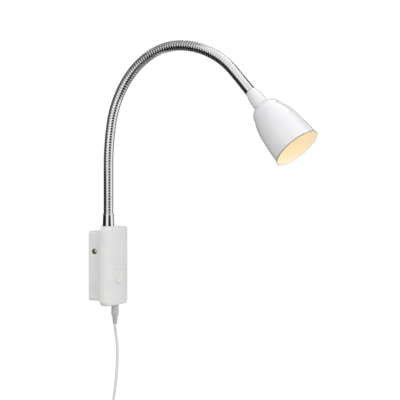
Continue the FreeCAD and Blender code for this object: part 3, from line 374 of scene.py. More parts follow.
def baked(piece):
    """Turn a piece's modifiers into its plain mesh."""
    bpy.context.view_layer.update()
    depsgraph = bpy.context.evaluated_depsgraph_get()
    mesh = bpy.data.meshes.new_from_object(piece.evaluated_get(depsgraph))
    piece.modifiers.clear()
    old = piece.data
    piece.data = mesh
    if old.users == 0:
        bpy.data.meshes.remove(old)


def smooth_by_angle(mesh, degrees):
    work = bmesh.new()
    work.from_mesh(mesh)
    for face in work.faces:
        face.smooth = True
    for edge in work.edges:
        edge.smooth = len(edge.link_faces) == 2 and edge.calc_face_angle(0) < math.radians(degrees)
    work.to_mesh(mesh)
    work.free()


# ---------------------------------------------------------------- cord

CORD_DIAMETER = 3.5
ROUTE = [  # the cord's points, from the plug's strain relief down to the coil, millimetres
    (0.0, -27.2, -75.0), (0.0, -27.4, -82.0), (-0.2, -30.6, -98.0), (-1.6, -32.2, -122.0),
    (-5.0, -31.4, -152.0), (-8.6, -30.2, -172.0), (-9.7, -30.0, -185.8), (-4.5, -30.0, -194.8),
    (4.5, -30.0, -200.0), (12.5, -30.0, -200.0),
]
COIL_MIDDLE = Vector((16.0, -30.0, -226.0))
COIL_OUTER = 26.0
COIL_PITCH = 4.5
COIL_HALF_TURNS = 6
COIL_LAYERS = 4
COIL_STEPS = 8  # points in each half turn
TAIL = [(-3.5, 0.0, 0.0), (-8.0, 0.0, 0.0), (-17.0, 0.0, -5.2), (-22.2, 0.0, -14.2), (-22.2, 0.0, -22.2)]


def coil_points():
    """Control points of the coil's turns: spirals in and out with one climbing half turn between layers."""
    points = []
    radius = COIL_OUTER
    layer = 0.0
    up = 1
    inward = -1
    # a control point stands outside its curve, so the turns are drawn a little larger
    grown = 1 / math.cos(math.pi / COIL_STEPS / 2) ** 0.5

    def half_turn(start_radius, end_radius, rise):
        for step in range(COIL_STEPS):
            share = (step + 0.5) / COIL_STEPS
            angle = math.pi * share
            middle = (start_radius - end_radius) / 2 * up
            wide = (start_radius + end_radius) / 2 * grown
            points.append(COIL_MIDDLE + Vector((
                up * wide * math.sin(angle),
                layer + rise / 2 * (1 - math.cos(angle)),
                middle + up * wide * math.cos(angle))))

    for number in range(COIL_LAYERS):
        for _ in range(COIL_HALF_TURNS):
            after = radius + inward * COIL_PITCH / 2
            half_turn(radius, after, 0.0)
            radius = after
            up = -up
        if number < COIL_LAYERS - 1:
            half_turn(radius, radius, COIL_PITCH)
            layer += COIL_PITCH
            up = -up
            inward = -inward
    end = COIL_MIDDLE + Vector((0, layer, radius * up))
    return points, end


def make_cord(pieces):
    turns, end = coil_points()
    tail = [end + Vector(step) for step in TAIL]
    points = [Vector(p) for p in ROUTE] + turns + tail
    curve = bpy.data.curves.new("supply_cord_line", "CURVE")
    curve.dimensions = "3D"
    spline = curve.splines.new("NURBS")
    spline.points.add(len(points) - 1)
    for spot, point in zip(spline.points, points):
        spot.co = (*(point * MM), 1)
    spline.order_u = 3
    spline.use_endpoint_u = True
    spline.resolution_u = 6
    curve.bevel_depth = CORD_DIAMETER / 2 * MM
    curve.bevel_resolution = 5
    curve.use_fill_caps = True
    piece = linked("cord", curve)
    curve.materials.append(CORD)
    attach(piece, "plug")
    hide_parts("supply_cord", "cord_coil", "cord_tail")
    line = linked("cord_measure", curve.copy())
    line.data.bevel_depth = 0
    bpy.context.view_layer.update()
    mesh = bpy.data.meshes.new_from_object(line.evaluated_get(bpy.context.evaluated_depsgraph_get()))
    length = sum((mesh.vertices[e.vertices[0]].co - mesh.vertices[e.vertices[1]].co).length
                 for e in mesh.edges)
    bpy.data.objects.remove(line)
    print("cord length %.3f m" % length)


# ---------------------------------------------------------------- plug and adapter

PLUG_FROM_WALL = 27.2
GRIP_RADIUS = 4.63
GRIP_TOP = -50.6
GRIP_END = -63.9
GRIP_ROUNDS = (0.6, 0.8)  # radius of its edge above and below
RELIEF_RADIUS = 3.86
RELIEF_TAPER = 1.26
RELIEF_END = -75.0
RELIEF_GROOVES = 3
RELIEF_PITCH = 2.775
RELIEF_GROOVE = (  # outward and upward from the taper at the groove's middle
    (0.06, 0.75), (0, 0.62), (-0.7, 0.42), (-0.9, 0), (-0.75, -0.42), (-0.06, -0.62), (-0.1, -0.78))


def make_plug():
    """Moulded plug grip with soft shoulders, and a strain relief with three ring grooves."""
    above, below = GRIP_ROUNDS
    profile = [(0, GRIP_TOP)] + arc_points((GRIP_RADIUS - above, GRIP_TOP - above), above, 90, 0, 5)
    profile += arc_points((GRIP_RADIUS - below, GRIP_END + below), below, 0, -80, 5)
    profile += [(RELIEF_RADIUS, GRIP_END - 0.05)]
    for number in range(1, RELIEF_GROOVES + 1):
        height = GRIP_END - RELIEF_PITCH * number
        wide = RELIEF_RADIUS - RELIEF_TAPER * number / (RELIEF_GROOVES + 1)
        profile += [(wide + outward, height + upward) for outward, upward in RELIEF_GROOVE]
    profile += [(2.66, RELIEF_END + 0.5), (2.45, RELIEF_END + 0.12), (2.2, RELIEF_END), (0, RELIEF_END)]
    grip = lathe("plug_grip", profile, at(0, -PLUG_FROM_WALL, 0), [PLUG], "plug", 72,
                 sharp=60)
    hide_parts("dc_plug_body")
    return grip


def make_cord_parts():
    grip = make_plug()
    adapter = dressed("adapter_body", PLUG, "adapter_case", 1.2)
    tie = dressed("cable_tie", PLUG, "coil_tie", 0.3)
    return [grip, adapter, tie, NODES["dc_plug_barrel"], NODES["adapter_pins"]]


make_cord(make_cord_parts())

# ---------------------------------------------------------------- housing

COVER_HALF = 26.0
COVER_HIGH = 50.3
COVER_FRONT = 33.6
COVER_REAR = 20.7
COVER_WALL = 2.0
COVER_CROWN = 150.0
COVER_SIDE_ROUND = 4.5
COVER_END_ROUND = 1.6
COVER_CORNER = 7.5
COVER_SOFT = 0.25
OUTLINE_STEPS = 16  # points in each corner and along each side
ROUND_STEPS = 8
FACE_STEPS = 10
LEAST_ROUND = 1.0
NECK_FROM_WALL = 17.3
NOTCH_RADIUS = 9.8
NOTCH_FLOOR = 45.3
INLET_RADIUS = 3.15
INLET_LOW = -54.3
BUTTON_UP = -14.0
BUTTON_HOLE = 9.5


def cover_outline(inset):
    """Points and outward normals of the cover seen from the front, anticlockwise from the right side."""
    corner = COVER_CORNER - inset
    count = OUTLINE_STEPS
    spots = []
    for number, (sx, sz) in enumerate(((1, 1), (-1, 1), (-1, -1), (1, -1))):
        middle = Vector((sx * (COVER_HALF - COVER_CORNER), sz * (COVER_HIGH - COVER_CORNER)))
        for step in range(count + 1):
            angle = math.pi / 2 * (number + step / count)
            normal = Vector((math.cos(angle), math.sin(angle)))
            spots.append((middle + normal * corner, normal))
        # points along the straight side that follows
        after = spots[-1]
        nx, nz = ((-1, 1), (-1, -1), (1, -1), (1, 1))[number]
        following = Vector((nx * (COVER_HALF - COVER_CORNER), nz * (COVER_HIGH - COVER_CORNER)))
        target = following + after[1] * corner
        for step in range(1, count):
            spots.append((after[0].lerp(target, step / count), after[1]))
    return spots


def crown_depth(x, inset=0.0):
    """How far the crowned face stands from the wall at that x."""
    radius = COVER_CROWN - inset
    return COVER_FRONT - inset - (radius - math.sqrt(radius * radius - x * x))


def edge_round(normal, inset):
    """Radius of the front edge where the outline faces that way: larger on the long sides."""
    return max(COVER_SIDE_ROUND * normal.x ** 2 + COVER_END_ROUND * normal.y ** 2 - inset, LEAST_ROUND)


def cover_rings(inset):
    """Rings from the rear rim, round the front edges and over the face to the button's hole."""
    rings = []
    spots = cover_outline(inset)
    angles = [math.atan2(s.y - BUTTON_UP, s.x) for s, _ in spots]
    for share in (0.0, 0.5, 1.0):
        ring = []
        for spot, normal in spots:
            round_off = edge_round(normal, inset)
            start = crown_depth(spot.x, inset) - round_off
            depth = COVER_REAR + (start - COVER_REAR) * share
            ring.append((spot.x, -depth, spot.y))
        rings.append(ring)
    for step in range(1, ROUND_STEPS + 1):
        turn = math.pi / 2 * step / ROUND_STEPS
        ring = []
        for spot, normal in spots:
            round_off = edge_round(normal, inset)
            place = spot - normal * round_off * (1 - math.cos(turn))
            depth = crown_depth(place.x, inset) - round_off * (1 - math.sin(turn))
            ring.append((place.x, -depth, place.y))
        rings.append(ring)
    face = [Vector((x, z)) for x, _, z in rings[-1]]
    for step in range(1, FACE_STEPS + 1):
        share = step / FACE_STEPS
        share = share * (2 - share)  # finer towards the hole
        ring = []
        for spot, angle in zip(face, angles):
            target = Vector((BUTTON_HOLE * math.cos(angle), BUTTON_UP + BUTTON_HOLE * math.sin(angle)))
            place = spot.lerp(target, share)
            ring.append((place.x, -crown_depth(place.x, inset), place.y))
        rings.append(ring)
    return rings


def make_cover():
    """Front cover: crowned face, long side rounds, softer ends, and real wall thickness."""
    outer = cover_rings(0.0)
    inner = cover_rings(COVER_WALL)
    loops = outer + inner[::-1]
    work = bmesh.new()
    made = [[work.verts.new(Vector(p) * MM) for p in ring] for ring in loops]
    total = len(made[0])
    for low, high in zip(made, made[1:] + made[:1]):
        for step in range(total):
            after = (step + 1) % total
            work.faces.new((low[step], low[after], high[after], high[step]))
    bmesh.ops.recalc_face_normals(work, faces=work.faces)
    mesh = bpy.data.meshes.new("cover_shell")
    work.to_mesh(mesh)
    work.free()
    piece = add_object("cover_shell", mesh, [HOUSING], None)
    cutters = [round_cutter("notch_cutter", NOTCH_RADIUS, at(0, -NECK_FROM_WALL, NOTCH_FLOOR), 10.0),
               round_cutter("inlet_cutter", INLET_RADIUS, at(0, -PLUG_FROM_WALL, INLET_LOW), 8.0)]
    drill(piece, cutters, COVER_SOFT)
    smooth_by_angle(piece.data, 30)
    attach(piece, "housing")
    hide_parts("front_cover")


def cutter_object(name, work):
    mesh = bpy.data.meshes.new(name)
    work.to_mesh(mesh)
    work.free()
    return linked(name, mesh)


def round_cutter(name, radius, place, high):
    work = bmesh.new()
    bmesh.ops.create_cone(work, cap_ends=True, segments=96, radius1=radius * MM, radius2=radius * MM,
                          depth=high * MM, matrix=place @ Matrix.Translation((0, 0, high / 2 * MM)))
    return cutter_object(name, work)


def box_cutter(name, size, place):
    work = bmesh.new()
    bmesh.ops.create_cube(work, size=1.0, matrix=place @ Matrix.Diagonal((*[side * MM for side in size], 1)))
    return cutter_object(name, work)


def drill(piece, cutters, soft):
    """Cut these shapes out of a piece, and break its sharp edges by soft millimetres."""
    for cutter in cutters:
        modifier = piece.modifiers.new("hole", "BOOLEAN")
        modifier.object = cutter
        modifier.solver = "EXACT"
    soften(piece, soft, 2, 50)
    baked(piece)
    for cutter in cutters:
        bpy.data.objects.remove(cutter)


BUTTON_RADIUS = 9.2
BUTTON_FACE = 34.2  # from the wall
BUTTON_EDGE = 0.9
BUTTON_LIP = ((10.4, 30.0), (10.4, 31.0))  # the rim behind the cover
BUTTON_DISH = ((7.6, 0.03), (6.0, 0.14), (3.0, 0.24), (0, 0.28))  # radius, depth under the face


def make_button():
    """Round cap with a dished middle, soft edge and the rim that holds it in."""
    shoulder = BUTTON_FACE - BUTTON_EDGE
    profile = [(0, BUTTON_LIP[0][1]), *BUTTON_LIP, (BUTTON_RADIUS, BUTTON_LIP[1][1]),
               (BUTTON_RADIUS, shoulder)]
    profile += arc_points((BUTTON_RADIUS - BUTTON_EDGE, shoulder), BUTTON_EDGE, 0, 90, 8)
    profile += [(radius, BUTTON_FACE - depth) for radius, depth in BUTTON_DISH]
    piece = lathe("button_cap", profile, at(0, 0, BUTTON_UP, TO_FRONT), [BUTTON], "button",
                  96)
    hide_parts("push_button")


SCREW_FROM_WALL = 8.5
SCREW_UP = 18.5
SCREW_SHANK = 1.95
SCREW_HEAD = 3.65
SCREW_END, HEAD_LOW, HEAD_EDGE, SCREW_TOP = 12.6, 18.3, 18.75, 20.2  # from the middle of the box
HEAD_DOME = 5.2  # radius of its arc
RECESS = (0.75, 3.4, 1.5)  # one arm of the cross: width, length, height of its cutter
SCREW_SOFT = 0.12


def make_side_screws():
    """Pan head screws: domed heads with a cross recess, on their shanks."""
    place = at(0, -SCREW_FROM_WALL, SCREW_UP, Matrix.Rotation(math.pi / 2, 4, "Y"))
    profile = [(0, SCREW_END), (SCREW_SHANK, SCREW_END), (SCREW_SHANK, HEAD_LOW), (SCREW_HEAD, HEAD_LOW),
               (SCREW_HEAD, HEAD_EDGE - 0.05)]
    profile += bowed((SCREW_HEAD, HEAD_EDGE), (0.0, SCREW_TOP), HEAD_DOME, 10)
    piece = lathe("side_screws", profile, place, [SCREW], None, 64)
    cutters = [box_cutter("recess_cutter_%d" % number, size, place @ at(0, 0, SCREW_TOP))
               for number, size in enumerate((RECESS, (RECESS[1], RECESS[0], RECESS[2])))]
    drill(piece, cutters, SCREW_SOFT)
    work = bmesh.new()
    work.from_mesh(piece.data)
    other = bmesh.ops.duplicate(work, geom=work.verts[:] + work.edges[:] + work.faces[:])["geom"]
    bmesh.ops.rotate(work, verts=[v for v in other if isinstance(v, bmesh.types.BMVert)],
                     cent=(0, -SCREW_FROM_WALL * MM, 0), matrix=Matrix.Rotation(math.pi, 3, "Z"))
    work.to_mesh(piece.data)
    work.free()
    smooth_by_angle(piece.data, 30)
    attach(piece, "housing")
    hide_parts("cover_screws")


def make_return_spring():
    """Spring behind the button's plunger, dressed in steel on a mesh of its own."""
    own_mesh(dressed("switch_spring", SCREW, "return_spring"))


make_cover()
make_button()
dressed("wall_box", HOUSING, "wall_box_shell", 0.5)
make_return_spring()
make_side_screws()

# ---------------------------------------------------------------- neck

FERRULE_LOW = 50.3
FERRULE_TOP = 66.7
NECK_FOOT = Vector((0, -NECK_FROM_WALL, FERRULE_TOP))
ARM_TURN = math.radians(5)
OUT = Vector((-math.sin(ARM_TURN), -math.cos(ARM_TURN), 0))
UP = Vector((0, 0, 1))
ACROSS = Vector((math.cos(ARM_TURN), -math.sin(ARM_TURN), 0))
NECK_RISE = 61.8
NECK_ARCS = ((306.0, 10.2), (129.0, 23.1), (94.0, 34.3), (99.0, 32.3), (107.0, 39.1))
RIB_PITCH = 3.5
RIBS = 105
STEPS_PER_RIB = 12
NECK_SIDES = 56
JOINT_RIBS = (12, 27, 42, 57, 72, 87)
NECK_LONG = RIB_PITCH * RIBS


def neck_at(distance):
    """Point and heading on the neck's middle line, millimetres from the lower ferrule's top."""
    turn = 0.0
    out = 0.0
    high = min(distance, NECK_RISE)
    left = distance - NECK_RISE
    for radius, degrees in NECK_ARCS:
        if left <= 0:
            break
        part = min(left / radius, math.radians(degrees))
        out += radius * (math.cos(turn) - math.cos(turn + part))
        high += radius * (math.sin(turn + part) - math.sin(turn))
        turn += part
        left -= radius * part
    if left > 0:
        out += left * math.sin(turn)
        high += left * math.cos(turn)
    return NECK_FOOT + OUT * out + UP * high, OUT * math.sin(turn) + UP * math.cos(turn)


NECK_CREST = 6.2
GROOVE_DEPTH = 0.3
GROOVE_SHARE = 0.15  # of a rib's pitch, on each side of the groove's bottom
NECK_BOWS = ((185.0, 60.0, 0.9), (304.0, 60.0, 1.0))  # where, half length, inward: the real bend is uneven


def bowed_neck(distance):
    """The neck's middle line with its two slight flat stretches, as a hand-bent gooseneck has."""
    point, heading = neck_at(distance)
    inward = heading.cross(ACROSS).normalized()
    if inward.z > 0:
        inward = -inward
    for middle, half, depth in NECK_BOWS:
        share = (distance - middle) / half
        if abs(share) < 1:
            point = point + inward * depth * math.cos(share * math.pi / 2) ** 2
    return point


def ribbed_tube():
    """Node tree: sweeps a round section along a path, with a narrow groove after each rib."""
    tree = bpy.data.node_groups.new("ribbed_tube", "GeometryNodeTree")
    for name, kind in (("Path", "Geometry"), ("Ribs", "Int"), ("Steps per Rib", "Int"), ("Sides", "Int"),
                       ("Crest Radius", "Float"), ("Groove Depth", "Float"), ("Groove Share", "Float"),
                       ("Finish", "Material")):
        tree.interface.new_socket(name, in_out="INPUT", socket_type="NodeSocket" + kind)
    tree.interface.new_socket("Tube", in_out="OUTPUT", socket_type="NodeSocketGeometry")
    sizes = node(tree, "NodeGroupInput").outputs
    maths = "ShaderNodeMath"
    line = node(tree, "GeometryNodeMeshToCurve", None, Mesh=sizes["Path"])
    count = node(tree, maths, {"operation": "MULTIPLY_ADD"}, _0=sizes["Ribs"], _1=sizes["Steps per Rib"],
                 _2=1.0)
    even = node(tree, "GeometryNodeResampleCurve", {"mode": "COUNT"}, Curve=line.outputs[0],
                Count=count.outputs[0])
    index = node(tree, "GeometryNodeInputIndex")
    along = node(tree, maths, {"operation": "DIVIDE"}, _0=index.outputs[0], _1=sizes["Steps per Rib"])
    share = node(tree, maths, {"operation": "FRACT"}, _0=along.outputs[0])
    centred = node(tree, maths, {"operation": "SUBTRACT"}, _0=share.outputs[0], _1=0.5)
    off = node(tree, maths, {"operation": "ABSOLUTE"}, _0=centred.outputs[0])
    edge = node(tree, maths, {"operation": "SUBTRACT"}, _0=0.5, _1=sizes["Groove Share"])
    groove = node(tree, "ShaderNodeMapRange", {"interpolation_type": "SMOOTHSTEP"}, Value=off.outputs[0],
                  From_Min=edge.outputs[0], From_Max=0.5, To_Min=0.0, To_Max=sizes["Groove Depth"])
    radius = node(tree, maths, {"operation": "SUBTRACT"}, _0=sizes["Crest Radius"], _1=groove.outputs[0])
    section = node(tree, "GeometryNodeCurvePrimitiveCircle", {"mode": "RADIUS"}, Resolution=sizes["Sides"],
                   Radius=1.0)
    tube = node(tree, "GeometryNodeCurveToMesh", None, Curve=even.outputs[0],
                Profile_Curve=section.outputs[0], Scale=radius.outputs[0], Fill_Caps=True)
    smooth = node(tree, "GeometryNodeSetShadeSmooth", None, Geometry=tube.outputs[0])
    real = node(tree, "GeometryNodeRealizeInstances", None, Geometry=smooth.outputs[0])
    finished = node(tree, "GeometryNodeSetMaterial", None, Geometry=real.outputs[0], Material=sizes["Finish"])
    node(tree, "NodeGroupOutput", None, Tube=finished.outputs[0])
    return tree


def shaped(piece, tree, **values):
    """Run a node tree on a piece with these inputs, and keep the result as its plain mesh."""
    modifier = piece.modifiers.new(tree.name, "NODES")
    modifier.node_group = tree
    sockets = {socket.name: socket.identifier for socket in tree.interface.items_tree
               if socket.in_out == "INPUT"}
    for name, value in values.items():
        modifier[sockets[name.replace("_", " ")]] = value
    baked(piece)


def make_neck_length(number, first, last, body):
    """Ribs between two grooves as one swept tube."""
    halves = (last - first) * 2
    line = [bowed_neck((first + step / 2) * RIB_PITCH) * MM for step in range(halves + 1)]
    mesh = bpy.data.meshes.new("neck_length_%d" % number)
    mesh.from_pydata(line, [(step, step + 1) for step in range(halves)], [])
    piece = add_object("neck_length_%d" % number, mesh, [], None)
    shaped(piece, RIBBED_TUBE, Ribs=last - first, Steps_per_Rib=STEPS_PER_RIB, Sides=NECK_SIDES,
           Crest_Radius=NECK_CREST * MM, Groove_Depth=GROOVE_DEPTH * MM, Groove_Share=GROOVE_SHARE,
           Finish=CHROME)
    if body:
        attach(piece, body)
    return piece


def make_neck():
    """The neck in eight lengths that meet in the middle of each stiff one; six of them reach across a joint,
    and only the first and the last are attached to a body.
    """
    edges = (0,) + JOINT_RIBS + (RIBS,)
    middles = [(a + b) // 2 for a, b in zip(edges, edges[1:])]
    first = make_neck_length(1, 0, middles[0], "housing")
    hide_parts("neck_segment_1")
    for number in range(len(JOINT_RIBS)):
        low = middles[number]
        high = middles[number + 1]
        piece = make_neck_length(number + 2, low, high, None)
        tuple(neck_at(low * RIB_PITCH)[0] * MM)
        tuple(neck_at(high * RIB_PITCH)[0] * MM)
        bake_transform(piece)
        if number < len(JOINT_RIBS) - 1:
            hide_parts("neck_segment_%d" % (number + 2))
    last = make_neck_length(8, middles[-1], RIBS, "head")
    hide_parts("neck_segment_7")


SLEEVE_BORE = 2.5
FERRULE_FOOT = ((7.15, 0.0), (7.45, 0.3), (7.44, 0.5))  # radius, height over its low end
FERRULE_BEAD = (  # radius, depth under its top
    (6.86, 2.1), (6.85, 1.9), (6.78, 1.6), (6.9, 1.2), (6.9, 0.6), (6.7, 0.2), (6.3, 0.0))


def make_lower_ferrule():
    """Tapered ferrule with a rolled top edge and a small foot chamfer."""
    profile = [(SLEEVE_BORE, FERRULE_LOW)]
    profile += [(radius, FERRULE_LOW + height) for radius, height in FERRULE_FOOT]
    profile += [(radius, FERRULE_TOP - depth) for radius, depth in FERRULE_BEAD]
    profile += [(SLEEVE_BORE, FERRULE_TOP)]
    piece = lathe("lower_ferrule_turned", profile, at(0, -NECK_FROM_WALL, 0), [CHROME], "housing",
                  96, sharp=40)
    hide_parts("lower_ferrule")


RIBBED_TUBE = ribbed_tube()
make_neck()
make_lower_ferrule()

# ---------------------------------------------------------------- head

HEAD_POINT, HEAD_HEADING = neck_at(NECK_LONG)
HEAD_SIDE = HEAD_HEADING.cross(ACROSS).normalized()
HEAD = Matrix.Translation(HEAD_POINT * MM) @ Matrix((
    (ACROSS.x, -HEAD_SIDE.x, HEAD_HEADING.x, 0), (ACROSS.y, -HEAD_SIDE.y, HEAD_HEADING.y, 0),
    (ACROSS.z, -HEAD_SIDE.z, HEAD_HEADING.z, 0), (0, 0, 0, 1)))
COLLAR_LONG = 22.2
COLLAR_PROFILE = (  # radius, height over the neck's end
    (5.9, 0.0), (6.1, 0.2), (6.11, 0.4), (6.45, 21.8), (6.45, 22.0), (6.3, COLLAR_LONG))
CUP_TOP = 6.4
CUP_FOOT = 9.15
CUP_BOW = 60.0
CREASE = 44.4  # where the cup meets the shade
SHADE_WALL = 1.6
SHADE_NECK = 9.0
SHADE_BORE = 4.4
SHADE_START = (9.15, 0.15)  # radius, height over the crease
SHADE_SPANS = (  # on to this radius and height, along an arc of this radius, in this many steps
    (18.4, 11.2, 13.5, 20),
    (25.3, 38.3, 78.0, 24),
    (27.5, 64.5, 420.0, 12),
)
SHADE_FLARE = (27.93, 66.0)
RIM_POINTS = ((28.1, 66.6), (28.28, 67.1), (28.1, 67.3), (27.75, 67.3))
MOUTH_POINTS = ((26.95, 67.3), (26.75, 67.0))


def make_collar():
    """Slim chrome sleeve, a little wider towards the cup."""
    profile = [(SLEEVE_BORE, 0.0), *COLLAR_PROFILE, (SLEEVE_BORE, COLLAR_LONG)]
    piece = lathe("upper_ferrule_turned", profile, HEAD, [CHROME], "head", 96)
    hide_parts("upper_ferrule")


def make_cup():
    """White cup that widens from the sleeve to the shade."""
    profile = [(SLEEVE_BORE, COLLAR_LONG)]
    profile += arc_points((CUP_TOP - 0.5, COLLAR_LONG + 0.5), 0.5, -90, 0, 4)
    profile += bowed((CUP_TOP, COLLAR_LONG + 0.6), (CUP_FOOT, CREASE - 0.25), CUP_BOW, 16)[1:]
    profile += [(CUP_FOOT - 0.2, CREASE), (SLEEVE_BORE, CREASE)]
    piece = lathe("cup_turned", profile, HEAD, [SHADE], "head", 128, sharp=60)
    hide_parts("neck_cup")


def over_crease(points):
    return [(radius, CREASE + height) for radius, height in points]


def make_shade():
    """Tulip shade: gloss outside, a thin olive-grey band of painted shadow on the outer lip at the mouth, and
    a lining with painted warm light inside.
    """
    wall = SHADE_WALL
    outer = over_crease(((SHADE_NECK, 0.05), SHADE_START))
    for radius, height, bow, steps in SHADE_SPANS:
        outer += bowed(outer[-1], (radius, CREASE + height), bow, steps)[1:]
    outer += over_crease((SHADE_FLARE,))
    rim = over_crease(RIM_POINTS)
    radius, height = SHADE_SPANS[-1][:2]
    inner = [(radius - wall, CREASE + height)]
    for (radius, height, _, _), (_, _, bow, steps) in list(zip(SHADE_SPANS, SHADE_SPANS[1:]))[::-1]:
        inner += bowed(inner[-1], (radius - wall, CREASE + height), wall - bow, steps)[1:]
    inner += bowed(inner[-1], (SHADE_NECK, CREASE + wall), wall - SHADE_SPANS[0][2], 16)[1:]
    inner += over_crease(((SHADE_BORE, wall), (SHADE_BORE, 0.05)))
    profile = outer + rim + over_crease(MOUTH_POINTS) + inner
    # zone 1, round the outer lip, takes the painted shadow band; zone 2 is the lining with its painted warm
    # glow
    zones = ((0, 0), (len(outer) - 1, 1), (len(outer) + len(rim) - 1, 2))
    piece = lathe("shade_shell", profile, HEAD, [SHADE, RIM_PAINTED_SHADOW, LINING_PAINTED_GLOW], "head", 160, zones, 50)
    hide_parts("shade")


make_collar()
make_cup()
make_shade()

# ---------------------------------------------------------------- carried-over pieces

for part in frame["record"]["subparts"]:
    shown = NODES[part["node"]]
    shown.data.materials.clear()
    shown.data.materials.append(FINISH[part["material_slot"]])

# ---------------------------------------------------------------- light and backdrop

LOOK = Vector((math.sin(CAMERA_TURN), math.cos(CAMERA_TURN), 0))  # the way the camera faces
RIGHT = Vector((math.cos(CAMERA_TURN), -math.sin(CAMERA_TURN), 0))
STUDIO = Vector((0, -0.15, 0.1))  # middle of the ring of cards
FLOOR_LEVEL = -1.3
FLOOR_HALF = 6.0
FLOOR_GLOW = 1.2
FLOOR_GLOW_SHARE = 0.75
LIGHT_WAY = (RIGHT * 0.39 - LOOK * 0.72 + UP * 0.58).normalized()  # where the soft light is strongest
LIGHT_MEAN = 0.68
LIGHT_SLOPE = 0.8
LIGHT_MOST = 1.2
CARD_REACH = 1.25


def studio_way(side, up):
    """Direction in the studio: degrees to the right of the camera, seen from the lamp, and degrees up."""
    side = math.radians(side)
    up = math.radians(up)
    return (RIGHT * math.sin(side) - LOOK * math.cos(side)) * math.cos(up) + UP * math.sin(up)


def blended(tree, output, share, first, second):
    """The first shader, which goes over to the second one as the share rises."""
    mix = node(tree, "ShaderNodeMixShader", None, _0=share.outputs[0], _1=first.outputs[0],
               _2=second.outputs[0])
    tree.links.new(mix.outputs[0], output.inputs["Surface"])


def make_world():
    """Soft light, stronger from the front, above and the right; plain white wherever it is looked at."""
    world = bpy.data.worlds.new("studio")
    bpy.context.scene.world = world
    world.use_nodes = True
    tree = world.node_tree
    tree.nodes.clear()
    output = tree.nodes.new("ShaderNodeOutputWorld")
    path = tree.nodes.new("ShaderNodeLightPath")
    lit = node(tree, "ShaderNodeMath", {"operation": "SUBTRACT", "use_clamp": True},
               _0=path.outputs["Is Diffuse Ray"], _1=path.outputs["Is Glossy Ray"])
    where = tree.nodes.new("ShaderNodeTexCoord")
    toward = node(tree, "ShaderNodeVectorMath", {"operation": "DOT_PRODUCT"}, _0=where.outputs["Generated"],
                  _1=tuple(LIGHT_WAY))
    level = node(tree, "ShaderNodeMath", {"operation": "MULTIPLY_ADD"}, _0=toward.outputs["Value"],
                 _1=LIGHT_SLOPE, _2=LIGHT_MEAN)
    level = node(tree, "ShaderNodeMath", {"operation": "MINIMUM"}, _0=level.outputs[0], _1=LIGHT_MOST)
    level = node(tree, "ShaderNodeMath", {"operation": "MAXIMUM"}, _0=level.outputs[0], _1=0.0)
    soft = node(tree, "ShaderNodeBackground", None, Color=(1, 1, 1, 1), Strength=level.outputs[0])
    plain = node(tree, "ShaderNodeBackground", None, Color=(1, 1, 1, 1), Strength=1.0)
    blended(tree, output, lit, plain, soft)


def make_floor():
    """Pale matt floor: mostly its own white where it is looked at, and it keeps its soft shadow."""
    mesh = bpy.data.meshes.new("floor")
    half = FLOOR_HALF
    mesh.from_pydata([(-half, -half, FLOOR_LEVEL), (half, -half, FLOOR_LEVEL), (half, half, FLOOR_LEVEL),
                      (-half, half, FLOOR_LEVEL)], [], [(0, 1, 2, 3)])
    floor = linked("floor", mesh)
    material, tree, output = bare_material("pale_floor")
    path = tree.nodes.new("ShaderNodeLightPath")
    seen = node(tree, "ShaderNodeMath", {"operation": "MAXIMUM"}, _0=path.outputs["Is Camera Ray"],
                _1=path.outputs["Is Glossy Ray"])
    seen = node(tree, "ShaderNodeMath", {"operation": "MAXIMUM"}, _0=seen.outputs[0],
                _1=path.outputs["Is Transmission Ray"])
    share = node(tree, "ShaderNodeMath", {"operation": "MULTIPLY"}, _0=seen.outputs[0],
                 _1=FLOOR_GLOW_SHARE)
    diffuse = node(tree, "ShaderNodeBsdfDiffuse", None, Color=linear("#D6D6D6"))
    glow = node(tree, "ShaderNodeEmission", None, Color=(1, 1, 1, 1), Strength=FLOOR_GLOW)
    blended(tree, output, share, diffuse, glow)
    mesh.materials.append(material)


CARD_STEPS = 8


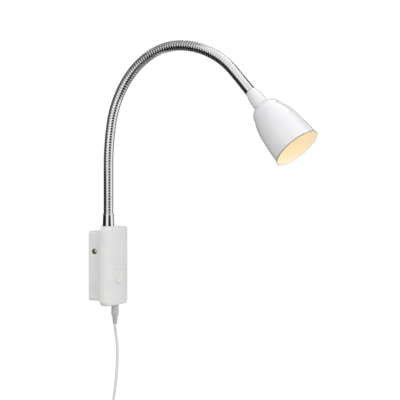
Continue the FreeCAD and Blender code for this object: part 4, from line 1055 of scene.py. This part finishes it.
def make_card(name, sides, ups, grey):
    """Card on the studio's ring, from one side angle to another and between two heights, seen only in
    reflections: polished chrome needs dark and grey cards to have its lines."""
    steps = CARD_STEPS
    work = bmesh.new()
    grid = []
    for i in range(steps + 1):
        row = []
        for j in range(steps + 1):
            way = studio_way(sides[0] + (sides[1] - sides[0]) * i / steps,
                             ups[0] + (ups[1] - ups[0]) * j / steps)
            row.append(work.verts.new(STUDIO + way * CARD_REACH))
        grid.append(row)
    for first, second in zip(grid, grid[1:]):
        for j in range(steps):
            corners = list(dict.fromkeys((first[j], second[j], second[j + 1], first[j + 1])))
            work.faces.new(corners)
    mesh = bpy.data.meshes.new(name)
    work.to_mesh(mesh)
    work.free()
    card = linked(name, mesh)
    material, tree, output = bare_material(name)
    glow = node(tree, "ShaderNodeEmission", None, Color=(1, 1, 1, 1), Strength=grey)
    tree.links.new(glow.outputs[0], output.inputs["Surface"])
    mesh.materials.append(material)
    for kind in ("camera", "diffuse", "shadow", "transmission"):
        setattr(card, "visible_" + kind, False)


def make_lamp(name, side, up, reach, size, power):
    """Soft box on the studio's ring that shines on the lamp."""
    data = bpy.data.lights.new(name, "AREA")
    data.shape = "RECTANGLE"
    data.size, data.size_y = size
    data.energy = power
    lamp = linked(name, data)
    way = studio_way(side, up)
    lamp.location = STUDIO + way * reach
    lamp.rotation_euler = way.to_track_quat("Z", "Y").to_euler()


make_world()
make_floor()
make_lamp("streak_box", side=126, up=68, reach=1.6, size=(0.4, 0.4), power=1.4)
CARDS = (  # name, side angles and heights in degrees, grey
    ("left_black", (-166, -64), (-62, 3), 0.012),
    ("left_edge_black", (-180, -166), (-22, 3), 0.05),
    ("left_near_grey", (-64, -48), (-26, 3), 0.08),
    ("left_near_low", (-64, -52), (-62, -26), 0.05),
    ("front_low_grey", (-52, -2), (-62, -26), 0.07),
    ("centre_black", (-2, 48), (-62, 6), 0.012),
    ("centre_right_grey", (48, 58), (-34, 3), 0.3),
    ("right_low_grey", (48, 130), (-62, -34), 0.15),
    ("right_behind_low", (130, 180), (-62, -28), 0.22),
    ("below_grey", (-180, 180), (-89, -62), 0.17),
    ("left_band", (-180, -70), (3, 42), 0.1),
    ("left_band_near", (-70, -58), (3, 44), 0.3),
    ("left_high_band", (-180, -60), (44, 80), 0.22),
    ("upper_front_line", (-50, -14), (38, 45), 0.5),
    ("right_behind_near", (112, 132), (-28, 34), 0.4),
    ("right_behind_far", (132, 172), (-28, 34), 0.06),
    ("right_behind_high", (94, 180), (37, 60), 0.03),
)
for card_name, card_sides, card_ups, card_grey in CARDS:
    make_card(card_name, card_sides, card_ups, card_grey)

bpy.context.scene.view_settings.view_transform = "Standard"
